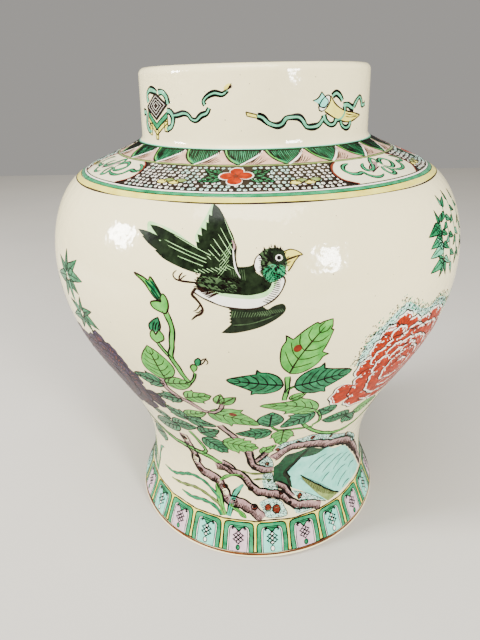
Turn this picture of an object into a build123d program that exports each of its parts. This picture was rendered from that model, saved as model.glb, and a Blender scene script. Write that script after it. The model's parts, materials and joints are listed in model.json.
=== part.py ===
from build123d import *

import math
import os

# Porcelain baluster jar, open at the mouth, built as it is made: three thrown body sections and a neck, luted
# together with slip, then glazed inside and out and banded with fired enamels.
# Millimetres, +Z up. The origin is the centre of the circle that the foot ring stands on.

# ---- driving dimensions -------------------------------------------------------------------------------------------
HEIGHT = 402.0  # foot ring to the top of the lip
NECK_HEIGHT = 50.3  # top of the lip to the corner where the neck meets the shoulder
NECK_RADIUS = 90.0  # glazed outside of the neck, just under the lip
ROOT_RADIUS = 91.4  # the neck widens a little towards the shoulder
MOUTH_RADIUS = 81.5  # glazed inside of the neck, which takes a cover's flange
BELLY_RADIUS = 170.8  # widest glazed radius
WAIST_RADIUS = 107.9  # narrowest glazed radius, above the spreading foot
FOOT_RADIUS = 124.6  # widest glazed radius of the foot

WALL = 8.0  # thrown clay
GLAZE = 0.6  # fired glaze, outside, inside and under the base
ENAMEL = 0.3  # fired enamel over the glaze
WASH = 0.15  # thin iron wash on the foot's edge
SLIP = 1.2  # slip in a luted joint
FIT = 0.02  # room between two layers, so that their curves never cross

WAIST_SEAM = 60.0  # heights of the luted joints, on the glazed outside
BELLY_SEAM = 206.0
FOOT_EDGE = 2.4  # height at which the glaze stops, above the bare bevel
FOOT_RING_WIDTH = 9.0  # bare ring that the jar stands on
RECESS_DEPTH = 13.0  # the base is hollowed out inside the ring
RECESS_LEAN = 3.0  # the hollow's wall leans in by this much
FLOOR_THICKNESS = 11.0
FLOOR_SWEEP = 9.0  # the inside curves on to the floor over this much
FLOOR_EASE = 2.4  # how far in and up the bend of that curve is eased
GLAZED_EASE = 2.2  # and the same on the glaze that lines it
RING_BEVEL = 0.4  # extra set-back of the ring's outer edge
LIP_OUTER_ROUND = 5.0
LIP_INNER_ROUND = 2.6
LIP_CREST = 1.2  # how far inside the neck wall's middle the two glazes meet
NECK_SEAT = 1.0  # the neck's luted joint lies this far under its root
SEAT_DROP = 3.2  # the clay shoulder comes up to this far under the neck's root
SOFFIT_DROP = 6.0  # and its inside turns to the neck this far under it
BORE_EDGE = 1.0  # straight edge of the bore under the joint
SOFFIT_LEAD = 0.4  # the lining goes straight down this far past that edge
CURVE_POINTS = 60  # points along the whole outside curve when it is drawn at another depth
FEWEST_POINTS = 6
HALVINGS = 50  # steps of a search along the curve

# Enamelled bands, each from its upper to its lower height on the glazed outside.
NECK_LINE = (351.4, 349.9)
SHOULDER_COLLAR = (349.5, 325.7)
FOOT_BORDER = (33.5, 8.0)
IRON_WASH = (7.6, 4.4)

ROOT = HEIGHT - NECK_HEIGHT
NECK_SEAM = ROOT - NECK_SEAT

# Radius and height of the glazed outside, from the neck root down to the foot's edge.
OUTLINE = [
    (ROOT_RADIUS, ROOT),
    (110.5, 342.8),
    (130.5, 334.6),
    (147.5, 325.0),
    (161.6, 305.6),
    (169.6, 279.0),
    (BELLY_RADIUS, 252.0),
    (161.4, 209.0),
    (143.2, 171.0),
    (124.0, 133.0),
    (111.6, 98.0),
    (WAIST_RADIUS, 66.0),
    (112.4, 33.5),
    (120.8, 12.0),
    (FOOT_RADIUS, FOOT_EDGE),
]

BODY = Spline(*[(r, 0, z) for r, z in OUTLINE])  # the glazed outside, in the XZ plane


# ---- outlines -----------------------------------------------------------------------------------------------------
def share_at_height(height):
    """The share of the outside curve at which it comes down to a height, by bisection."""
    low, high = 0.0, 1.0
    for _ in range(HALVINGS):
        middle = (low + high) / 2
        low, high = (middle, high) if (BODY @ middle).Z > height else (low, middle)
    return (low + high) / 2


def inset_run(top, bottom, depth):
    """Radius and height pairs a depth inside the glazed outside, between two of its heights, from the top down."""
    first, last = share_at_height(top), share_at_height(bottom)
    count = max(FEWEST_POINTS, round((last - first) * CURVE_POINTS))
    run = []
    for i in range(count + 1):
        share = first + (last - first) * i / count
        point, along = BODY @ share, BODY % share
        run.append((point.X + along.Z * depth, point.Z - along.X * depth))
    return run


def smooth(points):
    """A smooth curve through radius and height pairs."""
    return Spline(*[(r, 0, z) for r, z in points])


def straight(*points):
    """A broken line through radius and height pairs."""
    return Polyline(*[(r, 0, z) for r, z in points])


def corner_round(start, end, centre):
    """The quarter circle about a centre that rounds a corner between two points."""
    reach = math.hypot(start[0] - centre[0], start[1] - centre[1])
    lean = (start[0] + end[0] - 2 * centre[0], start[1] + end[1] - 2 * centre[1])
    scale = reach / math.hypot(*lean)
    middle = (centre[0] + lean[0] * scale, 0, centre[1] + lean[1] * scale)
    return ThreePointArc((start[0], 0, start[1]), middle, (end[0], 0, end[1]))


def turned(*curves):
    """A solid turned about Z from the outline that these curves make, end to end."""
    edges = [edge for curve in curves for edge in curve.edges()]
    return revolve(make_face(edges), Axis.Z)


def band(top, bottom, inner, outer):
    """A shell along the body between two heights and two depths; a negative depth stands proud of the glaze."""
    outside, inside = inset_run(top, bottom, outer), inset_run(top, bottom, inner)
    return turned(
        smooth(outside), straight(outside[-1], inside[-1]), smooth(inside), straight(inside[0], outside[0])
    )


# ---- depths and places shared by the layers -----------------------------------------------------------------------
CLAY_OUT = GLAZE + FIT  # depth of the clay's outer face
CLAY_IN = CLAY_OUT + WALL  # depth of its inner face
BORE_CLAY = MOUTH_RADIUS + GLAZE + FIT  # clay radius inside the neck
SHOULDER_TOP = ROOT - SEAT_DROP  # where the upper body's outside comes up to the neck's seat
SOFFIT_TOP = ROOT - SOFFIT_DROP  # where its inside turns to the neck
FLOOR_TOP = RECESS_DEPTH + FLOOR_THICKNESS
FLOOR_CORNER = FLOOR_TOP + FLOOR_SWEEP  # where the inside curves on to the floor
LIP_MIDDLE = (NECK_RADIUS + MOUTH_RADIUS) / 2 - LIP_CREST  # on the lip's crown, where the two glazes meet
RING_OUTER = FOOT_RADIUS - FOOT_EDGE - RING_BEVEL
RING_INNER = RING_OUTER - FOOT_RING_WIDTH


def floor_sweep(corner, floor, ease):
    """The run from the middle of the floor out and up to the wall's corner."""
    return straight((0, floor), (corner[0] - FLOOR_SWEEP, floor), (corner[0] - ease, floor + ease), corner)


# ---- thrown sections ----------------------------------------------------------------------------------------------
def foot_section():
    """The spreading foot: ring, hollowed base and floor, turned from one piece of clay."""
    outside = inset_run(WAIST_SEAM - SLIP / 2, FOOT_EDGE, CLAY_OUT)
    inside = inset_run(WAIST_SEAM - SLIP / 2, FLOOR_CORNER, CLAY_IN)
    corner = inside[-1]
    recess = (RING_INNER - RECESS_LEAN, RECESS_DEPTH)
    return turned(
        smooth(outside),
        straight(outside[-1], (RING_OUTER, 0), (RING_INNER, 0), recess, (0, RECESS_DEPTH), (0, FLOOR_TOP)),
        floor_sweep(corner, FLOOR_TOP, FLOOR_EASE),
        smooth(inside),
        straight(inside[0], outside[0]),
    )


def lower_body():
    """The lower half of the body, luted to the foot at the waist."""
    return band(BELLY_SEAM - SLIP / 2, WAIST_SEAM + SLIP / 2, CLAY_IN, CLAY_OUT)


def upper_body():
    """The shoulder half of the body, with the seat for the neck."""
    outside = inset_run(SHOULDER_TOP, BELLY_SEAM + SLIP / 2, CLAY_OUT)
    inside = inset_run(SOFFIT_TOP, BELLY_SEAM + SLIP / 2, CLAY_IN)
    seat = NECK_SEAM - SLIP
    return turned(
        smooth(outside),
        straight(outside[-1], inside[-1]),
        smooth(inside),
        straight(inside[0], (BORE_CLAY, seat - BORE_EDGE), (BORE_CLAY, seat)),
        straight((BORE_CLAY, seat), (ROOT_RADIUS - CLAY_OUT, seat), outside[0]),
    )


def outer_lip(depth):
    """At a depth under the glaze outside: the point under the lip, the crown's outer edge and their centre."""
    outer, top, rounding = NECK_RADIUS - depth, HEIGHT - depth, LIP_OUTER_ROUND - depth
    return (outer, top - rounding), (outer - rounding, top), (outer - rounding, top - rounding)


def inner_lip(depth):
    """At a depth under the glaze inside: the crown's inner edge, the point under the lip and their centre."""
    inner, top, rounding = MOUTH_RADIUS + depth, HEIGHT - depth, LIP_INNER_ROUND - depth
    return (inner + rounding, top), (inner, top - rounding), (inner + rounding, top - rounding)


def neck_collar():
    """The straight neck with its rounded lip."""
    under_lip, crown, outer_centre = outer_lip(CLAY_OUT)
    inner_crown, mouth, inner_centre = inner_lip(CLAY_OUT)
    root = (ROOT_RADIUS - CLAY_OUT, NECK_SEAM)
    return turned(
        straight(root, under_lip),
        corner_round(under_lip, crown, outer_centre),
        straight(crown, inner_crown),
        corner_round(inner_crown, mouth, inner_centre),
        straight(mouth, (BORE_CLAY, NECK_SEAM), root),
    )


# ---- luted joints -------------------------------------------------------------------------------------------------
def slip_ring(height):
    """Slip that fills the joint between two sections at a height."""
    return band(height + SLIP / 2, height - SLIP / 2, CLAY_IN, CLAY_OUT)


def neck_slip():
    """Slip between the neck and its seat on the upper body."""
    low, high = NECK_SEAM - SLIP, NECK_SEAM
    inner, outer = BORE_CLAY, ROOT_RADIUS - CLAY_OUT
    return turned(straight((inner, low), (outer, low), (outer, high), (inner, high), (inner, low)))


# ---- glaze --------------------------------------------------------------------------------------------------------
def outer_glaze():
    """One coat from the lip's crown to the foot's edge, pooled a little deeper in the corner under the neck."""
    under_lip, crown, centre = outer_lip(0)
    clay_under_lip, clay_crown, clay_centre = outer_lip(GLAZE)
    face = inset_run(SHOULDER_TOP, FOOT_EDGE, GLAZE)
    seat = NECK_SEAM - SLIP
    return turned(
        straight((LIP_MIDDLE, HEIGHT), crown),
        corner_round(crown, under_lip, centre),
        straight(under_lip, (ROOT_RADIUS, ROOT)),
        BODY,
        straight((FOOT_RADIUS, FOOT_EDGE), face[-1]),
        smooth(face),
        straight(face[0], (ROOT_RADIUS - GLAZE, seat + FIT), (ROOT_RADIUS - GLAZE, NECK_SEAM), clay_under_lip),
        corner_round(clay_under_lip, clay_crown, clay_centre),
        straight(clay_crown, (LIP_MIDDLE, HEIGHT - GLAZE), (LIP_MIDDLE, HEIGHT)),
    )


def inner_glaze():
    """The lining, from the lip's crown down the inside and over the floor."""
    inner_crown, mouth, centre = inner_lip(0)
    clay_crown, clay_mouth, clay_centre = inner_lip(GLAZE)
    clay = inset_run(SOFFIT_TOP, FLOOR_CORNER, CLAY_IN + FIT)
    face = inset_run(SOFFIT_TOP, FLOOR_CORNER, CLAY_IN + GLAZE)
    soffit = NECK_SEAM - SLIP - BORE_EDGE
    low, high = clay[-1], face[-1]
    floor, skin = FLOOR_TOP + FIT, FLOOR_TOP + GLAZE
    return turned(
        straight((LIP_MIDDLE - FIT, HEIGHT), inner_crown),
        corner_round(inner_crown, mouth, centre),
        straight(mouth, (MOUTH_RADIUS, soffit - SOFFIT_LEAD), face[0]),
        smooth(face),
        floor_sweep(high, skin, GLAZED_EASE),
        straight((0, skin), (0, floor)),
        floor_sweep(low, floor, FLOOR_EASE),
        smooth(clay),
        straight(clay[0], (MOUTH_RADIUS + GLAZE, soffit - FIT), clay_mouth),
        corner_round(clay_mouth, clay_crown, clay_centre),
        straight(clay_crown, (LIP_MIDDLE - FIT, HEIGHT - GLAZE), (LIP_MIDDLE - FIT, HEIGHT)),
    )


def base_glaze():
    """Glaze on the hollow under the base."""
    edge = RING_INNER - RECESS_LEAN - FIT
    return turned(
        straight(
            (0, RECESS_DEPTH - FIT),
            (edge, RECESS_DEPTH - FIT),
            (edge, RECESS_DEPTH - GLAZE),
            (0, RECESS_DEPTH - GLAZE),
            (0, RECESS_DEPTH - FIT),
        )
    )


# ---- everything ---------------------------------------------------------------------------------------------------
def enamel_band(heights, thickness):
    """A fired layer over the glaze between two heights."""
    return band(heights[0], heights[1], -FIT, -thickness)


PARTS = {
    "foot_section": foot_section,
    "lower_body": lower_body,
    "upper_body": upper_body,
    "neck_collar": neck_collar,
    "waist_slip": lambda: slip_ring(WAIST_SEAM),
    "belly_slip": lambda: slip_ring(BELLY_SEAM),
    "neck_slip": neck_slip,
    "outer_glaze": outer_glaze,
    "inner_glaze": inner_glaze,
    "base_glaze": base_glaze,
    "neck_line_enamel": lambda: enamel_band(NECK_LINE, ENAMEL),
    "shoulder_collar_enamel": lambda: enamel_band(SHOULDER_COLLAR, ENAMEL),
    "foot_border_enamel": lambda: enamel_band(FOOT_BORDER, ENAMEL),
    "foot_iron_wash": lambda: enamel_band(IRON_WASH, WASH),
}

os.makedirs("parts", exist_ok=True)
for name, make in PARTS.items():
    export_step(make(), f"parts/{name}.step")
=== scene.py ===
"""The looks of a porcelain baluster jar, painted in famille verte enamels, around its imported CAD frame.

The glaze is laid as one smooth coat, and every enamel on it is its own thin, closed skin of fired glass:
washes of colour first, then the black and brown drawing on top. A point of the painting is given by its
azimuth, which is 0 at the front and grows to the right, and by its distance down the wall from the neck.
"""

import json
import logging
import math
import random
from dataclasses import dataclass, field
from enum import Enum

import bpy
from mathutils import Matrix, Vector
from mathutils.bvhtree import BVHTree
from mathutils.geometry import delaunay_2d_cdt


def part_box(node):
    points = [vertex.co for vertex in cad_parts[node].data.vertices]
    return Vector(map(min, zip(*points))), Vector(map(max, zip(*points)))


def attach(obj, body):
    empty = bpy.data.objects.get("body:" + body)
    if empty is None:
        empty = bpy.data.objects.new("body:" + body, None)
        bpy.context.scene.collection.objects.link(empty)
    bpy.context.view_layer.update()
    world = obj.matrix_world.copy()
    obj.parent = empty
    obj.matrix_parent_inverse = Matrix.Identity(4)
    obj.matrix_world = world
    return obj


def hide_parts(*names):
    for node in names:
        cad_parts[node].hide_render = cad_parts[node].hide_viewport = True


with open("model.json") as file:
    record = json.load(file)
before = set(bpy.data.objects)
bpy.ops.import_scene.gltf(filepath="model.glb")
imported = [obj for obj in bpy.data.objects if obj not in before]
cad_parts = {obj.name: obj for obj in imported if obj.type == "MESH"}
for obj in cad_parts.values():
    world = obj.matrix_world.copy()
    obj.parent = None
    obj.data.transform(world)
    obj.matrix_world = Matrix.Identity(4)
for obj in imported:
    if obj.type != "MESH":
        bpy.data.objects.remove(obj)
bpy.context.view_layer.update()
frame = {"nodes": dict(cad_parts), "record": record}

MM = 0.001
BODY = "root"
LOG = logging.getLogger("jar")

Point = tuple[float, float]
Path = list[Point]

# Heights over the glaze, in mm, at which each kind of enamel lies. A motif with more coats than these spaces
# them itself, because no two coats may share a height.
UNDER = -0.05  # the lower side of every enamel, sunk in the glaze so that no gap shows
HAZE = 0.03
WASH = 0.06
TINT = 0.10
LINE = 0.15
TOP = 0.20

# A mix node's colour inputs and its colour output, by number, because its names repeat.
MIX_A, MIX_B, MIX_RESULT = 6, 7, 2


# ---- finishes --------------------------------------------------------------------------------
def linear(code: str) -> tuple[float, float, float, float]:
    """Turn an sRGB hex code into a linear colour.

    Args:
        code: Six hex digits with a leading #.

    Returns:
        Red, green, blue and an alpha of 1.
    """
    parts = [int(code[i : i + 2], 16) / 255 for i in (1, 3, 5)]
    return (*[p / 12.92 if p <= 0.04045 else ((p + 0.055) / 1.055) ** 2.4 for p in parts], 1.0)


def add_node(tree: bpy.types.NodeTree, kind: str, settings: dict, links: dict) -> bpy.types.Node:
    """Add a shader node with its settings and links.

    Args:
        tree: The material's node tree.
        kind: The node's Blender type.
        settings: Values by property name, or by input name where the node has no such property.
        links: Output sockets by the name or number of the input they go to.

    Returns:
        The new node.
    """
    node = tree.nodes.new(kind)
    for name, value in settings.items():
        if isinstance(name, str) and hasattr(node, name):
            setattr(node, name, value)
        else:
            node.inputs[name].default_value = value
    for name, socket in links.items():
        tree.links.new(socket, node.inputs[name])
    return node


def new_material(name: str) -> tuple[bpy.types.Material, bpy.types.NodeTree, bpy.types.NodeSocket]:
    """Start a material with an empty tree.

    Args:
        name: The material's name.

    Returns:
        The material, its tree and the object-space coordinate socket, in metres.
    """
    material = bpy.data.materials.new(name)
    material.use_nodes = True
    material.node_tree.nodes.clear()
    place = material.node_tree.nodes.new("ShaderNodeTexCoord")
    return material, material.node_tree, place.outputs["Object"]


def per_mm(size: float) -> float:
    """The texture scale whose features are about this many millimetres wide."""
    return 1 / (size * MM)


def cover(material: bpy.types.Material, tree: bpy.types.NodeTree, settings: dict, links: dict) -> None:
    """Close a material with its one surface shader.

    Args:
        material: The material to finish.
        tree: Its node tree.
        settings: Constant values for the shader's own sockets.
        links: Sockets that drive its colour, roughness or normal.
    """
    shader = add_node(tree, "ShaderNodeBsdfPrincipled", settings, links)
    add_node(tree, "ShaderNodeOutputMaterial", {}, {"Surface": shader.outputs[0]})
    material.diffuse_color = (0.8, 0.8, 0.8, 1)


@dataclass(frozen=True)
class FiredGlaze:
    """Lime-alkali glaze on porcelain, dipped and fired: glassy, warm white, faintly rippled, pinholed."""

    name: str = "porcelain_clear_glaze"
    thin: str = "#F7E9B6"  # where it ran thin the warm clay shows
    pooled: str = "#EDE1AE"  # where it pooled it turns a little grey-green
    speck: str = "#6A5A48"  # iron specks burnt through from the clay
    drift_mm: float = 70.0  # slow change of colour from dipping
    ripple_mm: float = 9.0  # orange-peel waves that break up a reflection
    pit_mm: float = 5.5  # spacing of pinholes
    speck_mm: float = 13.0  # spacing of iron specks

    def make(self) -> bpy.types.Material:
        """Build the material.

        Returns:
            The finished material.
        """
        material, tree, place = new_material(self.name)
        drift = add_node(tree, "ShaderNodeTexNoise", {"Scale": per_mm(self.drift_mm), "Detail": 3.0},
                         {"Vector": place})
        tone = add_node(
            tree, "ShaderNodeMix", {"data_type": "RGBA", MIX_A: linear(self.thin),
                                    MIX_B: linear(self.pooled)},
            {"Factor": drift.outputs[0]},
        )
        cells = add_node(tree, "ShaderNodeTexVoronoi", {"Scale": per_mm(self.speck_mm)}, {"Vector": place})
        spot = add_node(
            tree, "ShaderNodeMapRange", {"From Min": 0.018, "From Max": 0.034, "To Min": 0.8, "To Max": 0.0},
            {"Value": cells.outputs["Distance"]},
        )
        specked = add_node(
            tree, "ShaderNodeMix", {"data_type": "RGBA", MIX_B: linear(self.speck)},
            {"Factor": spot.outputs[0], MIX_A: tone.outputs[MIX_RESULT]},
        )
        pits = add_node(tree, "ShaderNodeTexVoronoi", {"Scale": per_mm(self.pit_mm)}, {"Vector": place})
        hole = add_node(
            tree, "ShaderNodeMapRange", {"From Min": 0.02, "From Max": 0.07, "To Min": 0.0, "To Max": 1.0},
            {"Value": pits.outputs["Distance"]},
        )
        ripple = add_node(tree, "ShaderNodeTexNoise", {"Scale": per_mm(self.ripple_mm), "Detail": 2.0},
                          {"Vector": place})
        wave = add_node(tree, "ShaderNodeBump", {"Strength": 0.3, "Distance": 0.0016},
                        {"Height": ripple.outputs[0]})
        dent = add_node(
            tree, "ShaderNodeBump", {"Strength": 0.35, "Distance": 0.00025},
            {"Height": hole.outputs[0], "Normal": wave.outputs[0]},
        )
        cover(
            material, tree, {"Roughness": 0.1, "IOR": 1.46},
            {"Base Color": specked.outputs[MIX_RESULT], "Normal": dent.outputs[0]},
        )
        return material


@dataclass(frozen=True)
class BareClay:
    """Biscuit porcelain, wiped and fired bare: matt, chalky, flushed orange where iron met the flame."""

    name: str = "biscuit_porcelain"
    pale: str = "#DCD2BF"
    flushed: str = "#C08A5A"
    flush_mm: float = 14.0
    grain_mm: float = 0.9  # wiping marks, drawn coarser than the real clay so that they show

    def make(self) -> bpy.types.Material:
        """Build the material.

        Returns:
            The finished material.
        """
        material, tree, place = new_material(self.name)
        flush = add_node(tree, "ShaderNodeTexNoise", {"Scale": per_mm(self.flush_mm), "Detail": 4.0},
                         {"Vector": place})
        share = add_node(tree, "ShaderNodeMapRange", {"From Min": 0.5, "From Max": 0.75},
                         {"Value": flush.outputs[0]})
        tone = add_node(
            tree, "ShaderNodeMix", {"data_type": "RGBA", MIX_A: linear(self.pale),
                                    MIX_B: linear(self.flushed)},
            {"Factor": share.outputs[0]},
        )
        grain = add_node(tree, "ShaderNodeTexNoise", {"Scale": per_mm(self.grain_mm), "Detail": 3.0},
                         {"Vector": place})
        rough = add_node(tree, "ShaderNodeBump", {"Strength": 0.4, "Distance": 0.0003},
                         {"Height": grain.outputs[0]})
        cover(
            material, tree, {"Roughness": 0.82, "IOR": 1.5},
            {"Base Color": tone.outputs[MIX_RESULT], "Normal": rough.outputs[0]},
        )
        return material


@dataclass(frozen=True)
class LeadEnamel:
    """Lead-glass enamel over the glaze, brushed on and fired low: wet-looking, darker where it lies thick."""

    name: str
    thin: str
    thick: str
    mottle_mm: float = 5.0  # patches left by the loaded brush
    roughness: float = 0.12
    bump: float = 0.25
    # Index of refraction. Real lead enamel has about 1.6. It is set far lower on purpose: the pale studio
    # would otherwise lie as a white veil over the dark colours wherever the wall turns away.
    index: float = 1.27

    def make(self) -> bpy.types.Material:
        """Build the material.

        Returns:
            The finished material.
        """
        material, tree, place = new_material(self.name)
        patch = add_node(
            tree, "ShaderNodeTexNoise", {"Scale": per_mm(self.mottle_mm), "Detail": 4.0, "Roughness": 0.6},
            {"Vector": place},
        )
        share = add_node(tree, "ShaderNodeMapRange", {"From Min": 0.32, "From Max": 0.68},
                         {"Value": patch.outputs[0]})
        tone = add_node(
            tree, "ShaderNodeMix", {"data_type": "RGBA", MIX_A: linear(self.thin), MIX_B: linear(self.thick)},
            {"Factor": share.outputs[0]},
        )
        swell = add_node(tree, "ShaderNodeBump", {"Strength": self.bump, "Distance": 0.0004},
                         {"Height": patch.outputs[0]})
        cover(
            material, tree, {"Roughness": self.roughness, "IOR": self.index},
            {"Base Color": tone.outputs[MIX_RESULT], "Normal": swell.outputs[0]},
        )
        return material


class Enamel(Enum):
    """The colours on the painter's table, each fired from its own frit."""

    # Thin copper green: grassy and clear, yellow where the glaze shines through.
    LEAF = LeadEnamel("copper_green_enamel_thin", "#64B24A", "#36882C", 7.0)
    # The same green laid thick: deep and cool, nearly black in its pools.
    SPRUCE = LeadEnamel("copper_green_enamel_thick", "#14804C", "#054424", 6.0)
    # Green glass over black drawing: a feather black with a green depth.
    BOTTLE = LeadEnamel("copper_green_over_black", "#1D2817", "#080C06", 5.0, 0.22, 0.25, 1.22)
    # Copper green of middle thickness: the clear green of borders.
    JADE = LeadEnamel("copper_green_enamel_wave", "#2E9A66", "#0C643A", 8.0)
    # Green let down with yellow: dull and mossy.
    OLIVE = LeadEnamel("yellow_green_enamel", "#8FA05A", "#63773A", 6.0)
    # Copper in a white frit: pale turquoise, glassy as still water.
    SEA = LeadEnamel("pale_turquoise_enamel", "#90E0CA", "#68C8B0", 9.0)
    # A film of copper green: a yellow-green glow round the feathers.
    MINT = LeadEnamel("copper_green_halo", "#BFE4A4", "#92CC7E", 6.0)
    # A film of turquoise: a cool haze on the white.
    MIST = LeadEnamel("turquoise_enamel_wash", "#CDEBDB", "#A8DAC6", 5.0)
    # Antimony yellow: soft, warm and a little milky.
    STRAW = LeadEnamel("antimony_yellow_enamel", "#EBDF6C", "#D8C650", 10.0)
    # Manganese brown washed over drawing: bark between pink and brown.
    MAUVE = LeadEnamel("manganese_brown_wash", "#B4918C", "#8C6A68", 4.0)
    # The same wash thinned: lilac grey.
    MAUVE_PALE = LeadEnamel("thin_manganese_wash", "#D9BFC6", "#BFA0AA", 6.0)
    # Copper green with white: the milky green of ribbons and twigs.
    JADE_PALE = LeadEnamel("copper_green_enamel_ribbon", "#74C79E", "#459A72", 5.0)
    # Blue-green blades: the coolest of the greens.
    SEA_GREEN = LeadEnamel("copper_green_enamel_blade", "#3FAE8A", "#1B8264", 5.0)
    # Manganese thinned with iron: the warm pink-brown of a wave.
    BLUSH = LeadEnamel("pale_manganese_wash", "#D8B396", "#BC9078", 5.0)
    # Manganese laid thick: a purple so deep that it reads black in the folds.
    AUBERGINE = LeadEnamel("manganese_aubergine_enamel", "#291A31", "#0E0914", 4.0, 0.3, 0.25, 1.12)
    # The same purple thinned for the rims of petals.
    PLUM = LeadEnamel("thin_aubergine_enamel", "#4C3A58", "#2C2036", 4.0, 0.3, 0.25, 1.12)
    # Iron red rubbed on without a glassy frit: dense orange-red, less shiny than the glazes.
    IRON_RED = LeadEnamel("iron_red_thick", "#AE2E02", "#6A1500", 5.0, 0.3, 0.25, 1.14)
    # Iron laid on thick: brown-red, and dry to look at.
    RUST = LeadEnamel("iron_brown_enamel", "#7A2A16", "#501A0C", 4.0, 0.3, 0.25, 1.2)
    # Iron wash on the foot: a matt, uneven brown.
    WASH_BROWN = LeadEnamel("iron_foot_wash", "#74421C", "#40200E", 9.0, 0.35, 0.25, 1.2)
    # White frit: opaque and a little warmer than the light.
    CREAM = LeadEnamel("tin_white_enamel", "#F8F3E4", "#ECE6D4", 6.0)
    # No enamel at all but the glaze left bare inside a panel, so it has the coat's own colour.
    GLAZE_WHITE = LeadEnamel("reserved_white_glaze", "#F2E6C0", "#E6DCB6", 30.0)
    # Black-brown drawing laid as a solid ground under the roe.
    GROUND = LeadEnamel("black_brown_ground", "#2A1E16", "#120D0A", 4.0, 0.3, 0.25, 1.2)
    # Green pooled in the hollow of the rock: the darkest clear green.
    DEEP = LeadEnamel("copper_green_enamel_deep", "#0A4A28", "#032414", 6.0)
    # Green over brown hatching: grey-green and broken in tone.
    MOSS = LeadEnamel("copper_green_over_sepia", "#4C6440", "#243420", 3.5, 0.25)
    # Manganese black drawing under no frit: dry, dense lines.
    INK = LeadEnamel("manganese_black_line", "#0E0A07", "#050403", 6.0, 0.4, 0.2, 1.12)
    # The same drawing where it was thin: brown lines.
    SEPIA = LeadEnamel("manganese_brown_line", "#2A1811", "#140B07", 6.0, 0.4, 0.2, 1.14)


CREASE = math.radians(35)  # edges that turn by more than this stay crisp
EDGE_DROP = 0.015  # mm by which a wash thins at its edge
LINE_WEIGHT = 1.6  # a drawn line spreads this much in the firing
RING_SECTIONS = 288  # of a band that runs round the jar
LINE_COLOURS = (Enamel.INK, Enamel.SEPIA)
_MADE: dict[str, bpy.types.Material] = {}


def material_of(finish: FiredGlaze | BareClay | LeadEnamel) -> bpy.types.Material:
    """The material of a finish, made once.

    Args:
        finish: The finish.

    Returns:
        Its material.
    """
    if finish.name not in _MADE:
        _MADE[finish.name] = finish.make()
    return _MADE[finish.name]


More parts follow.
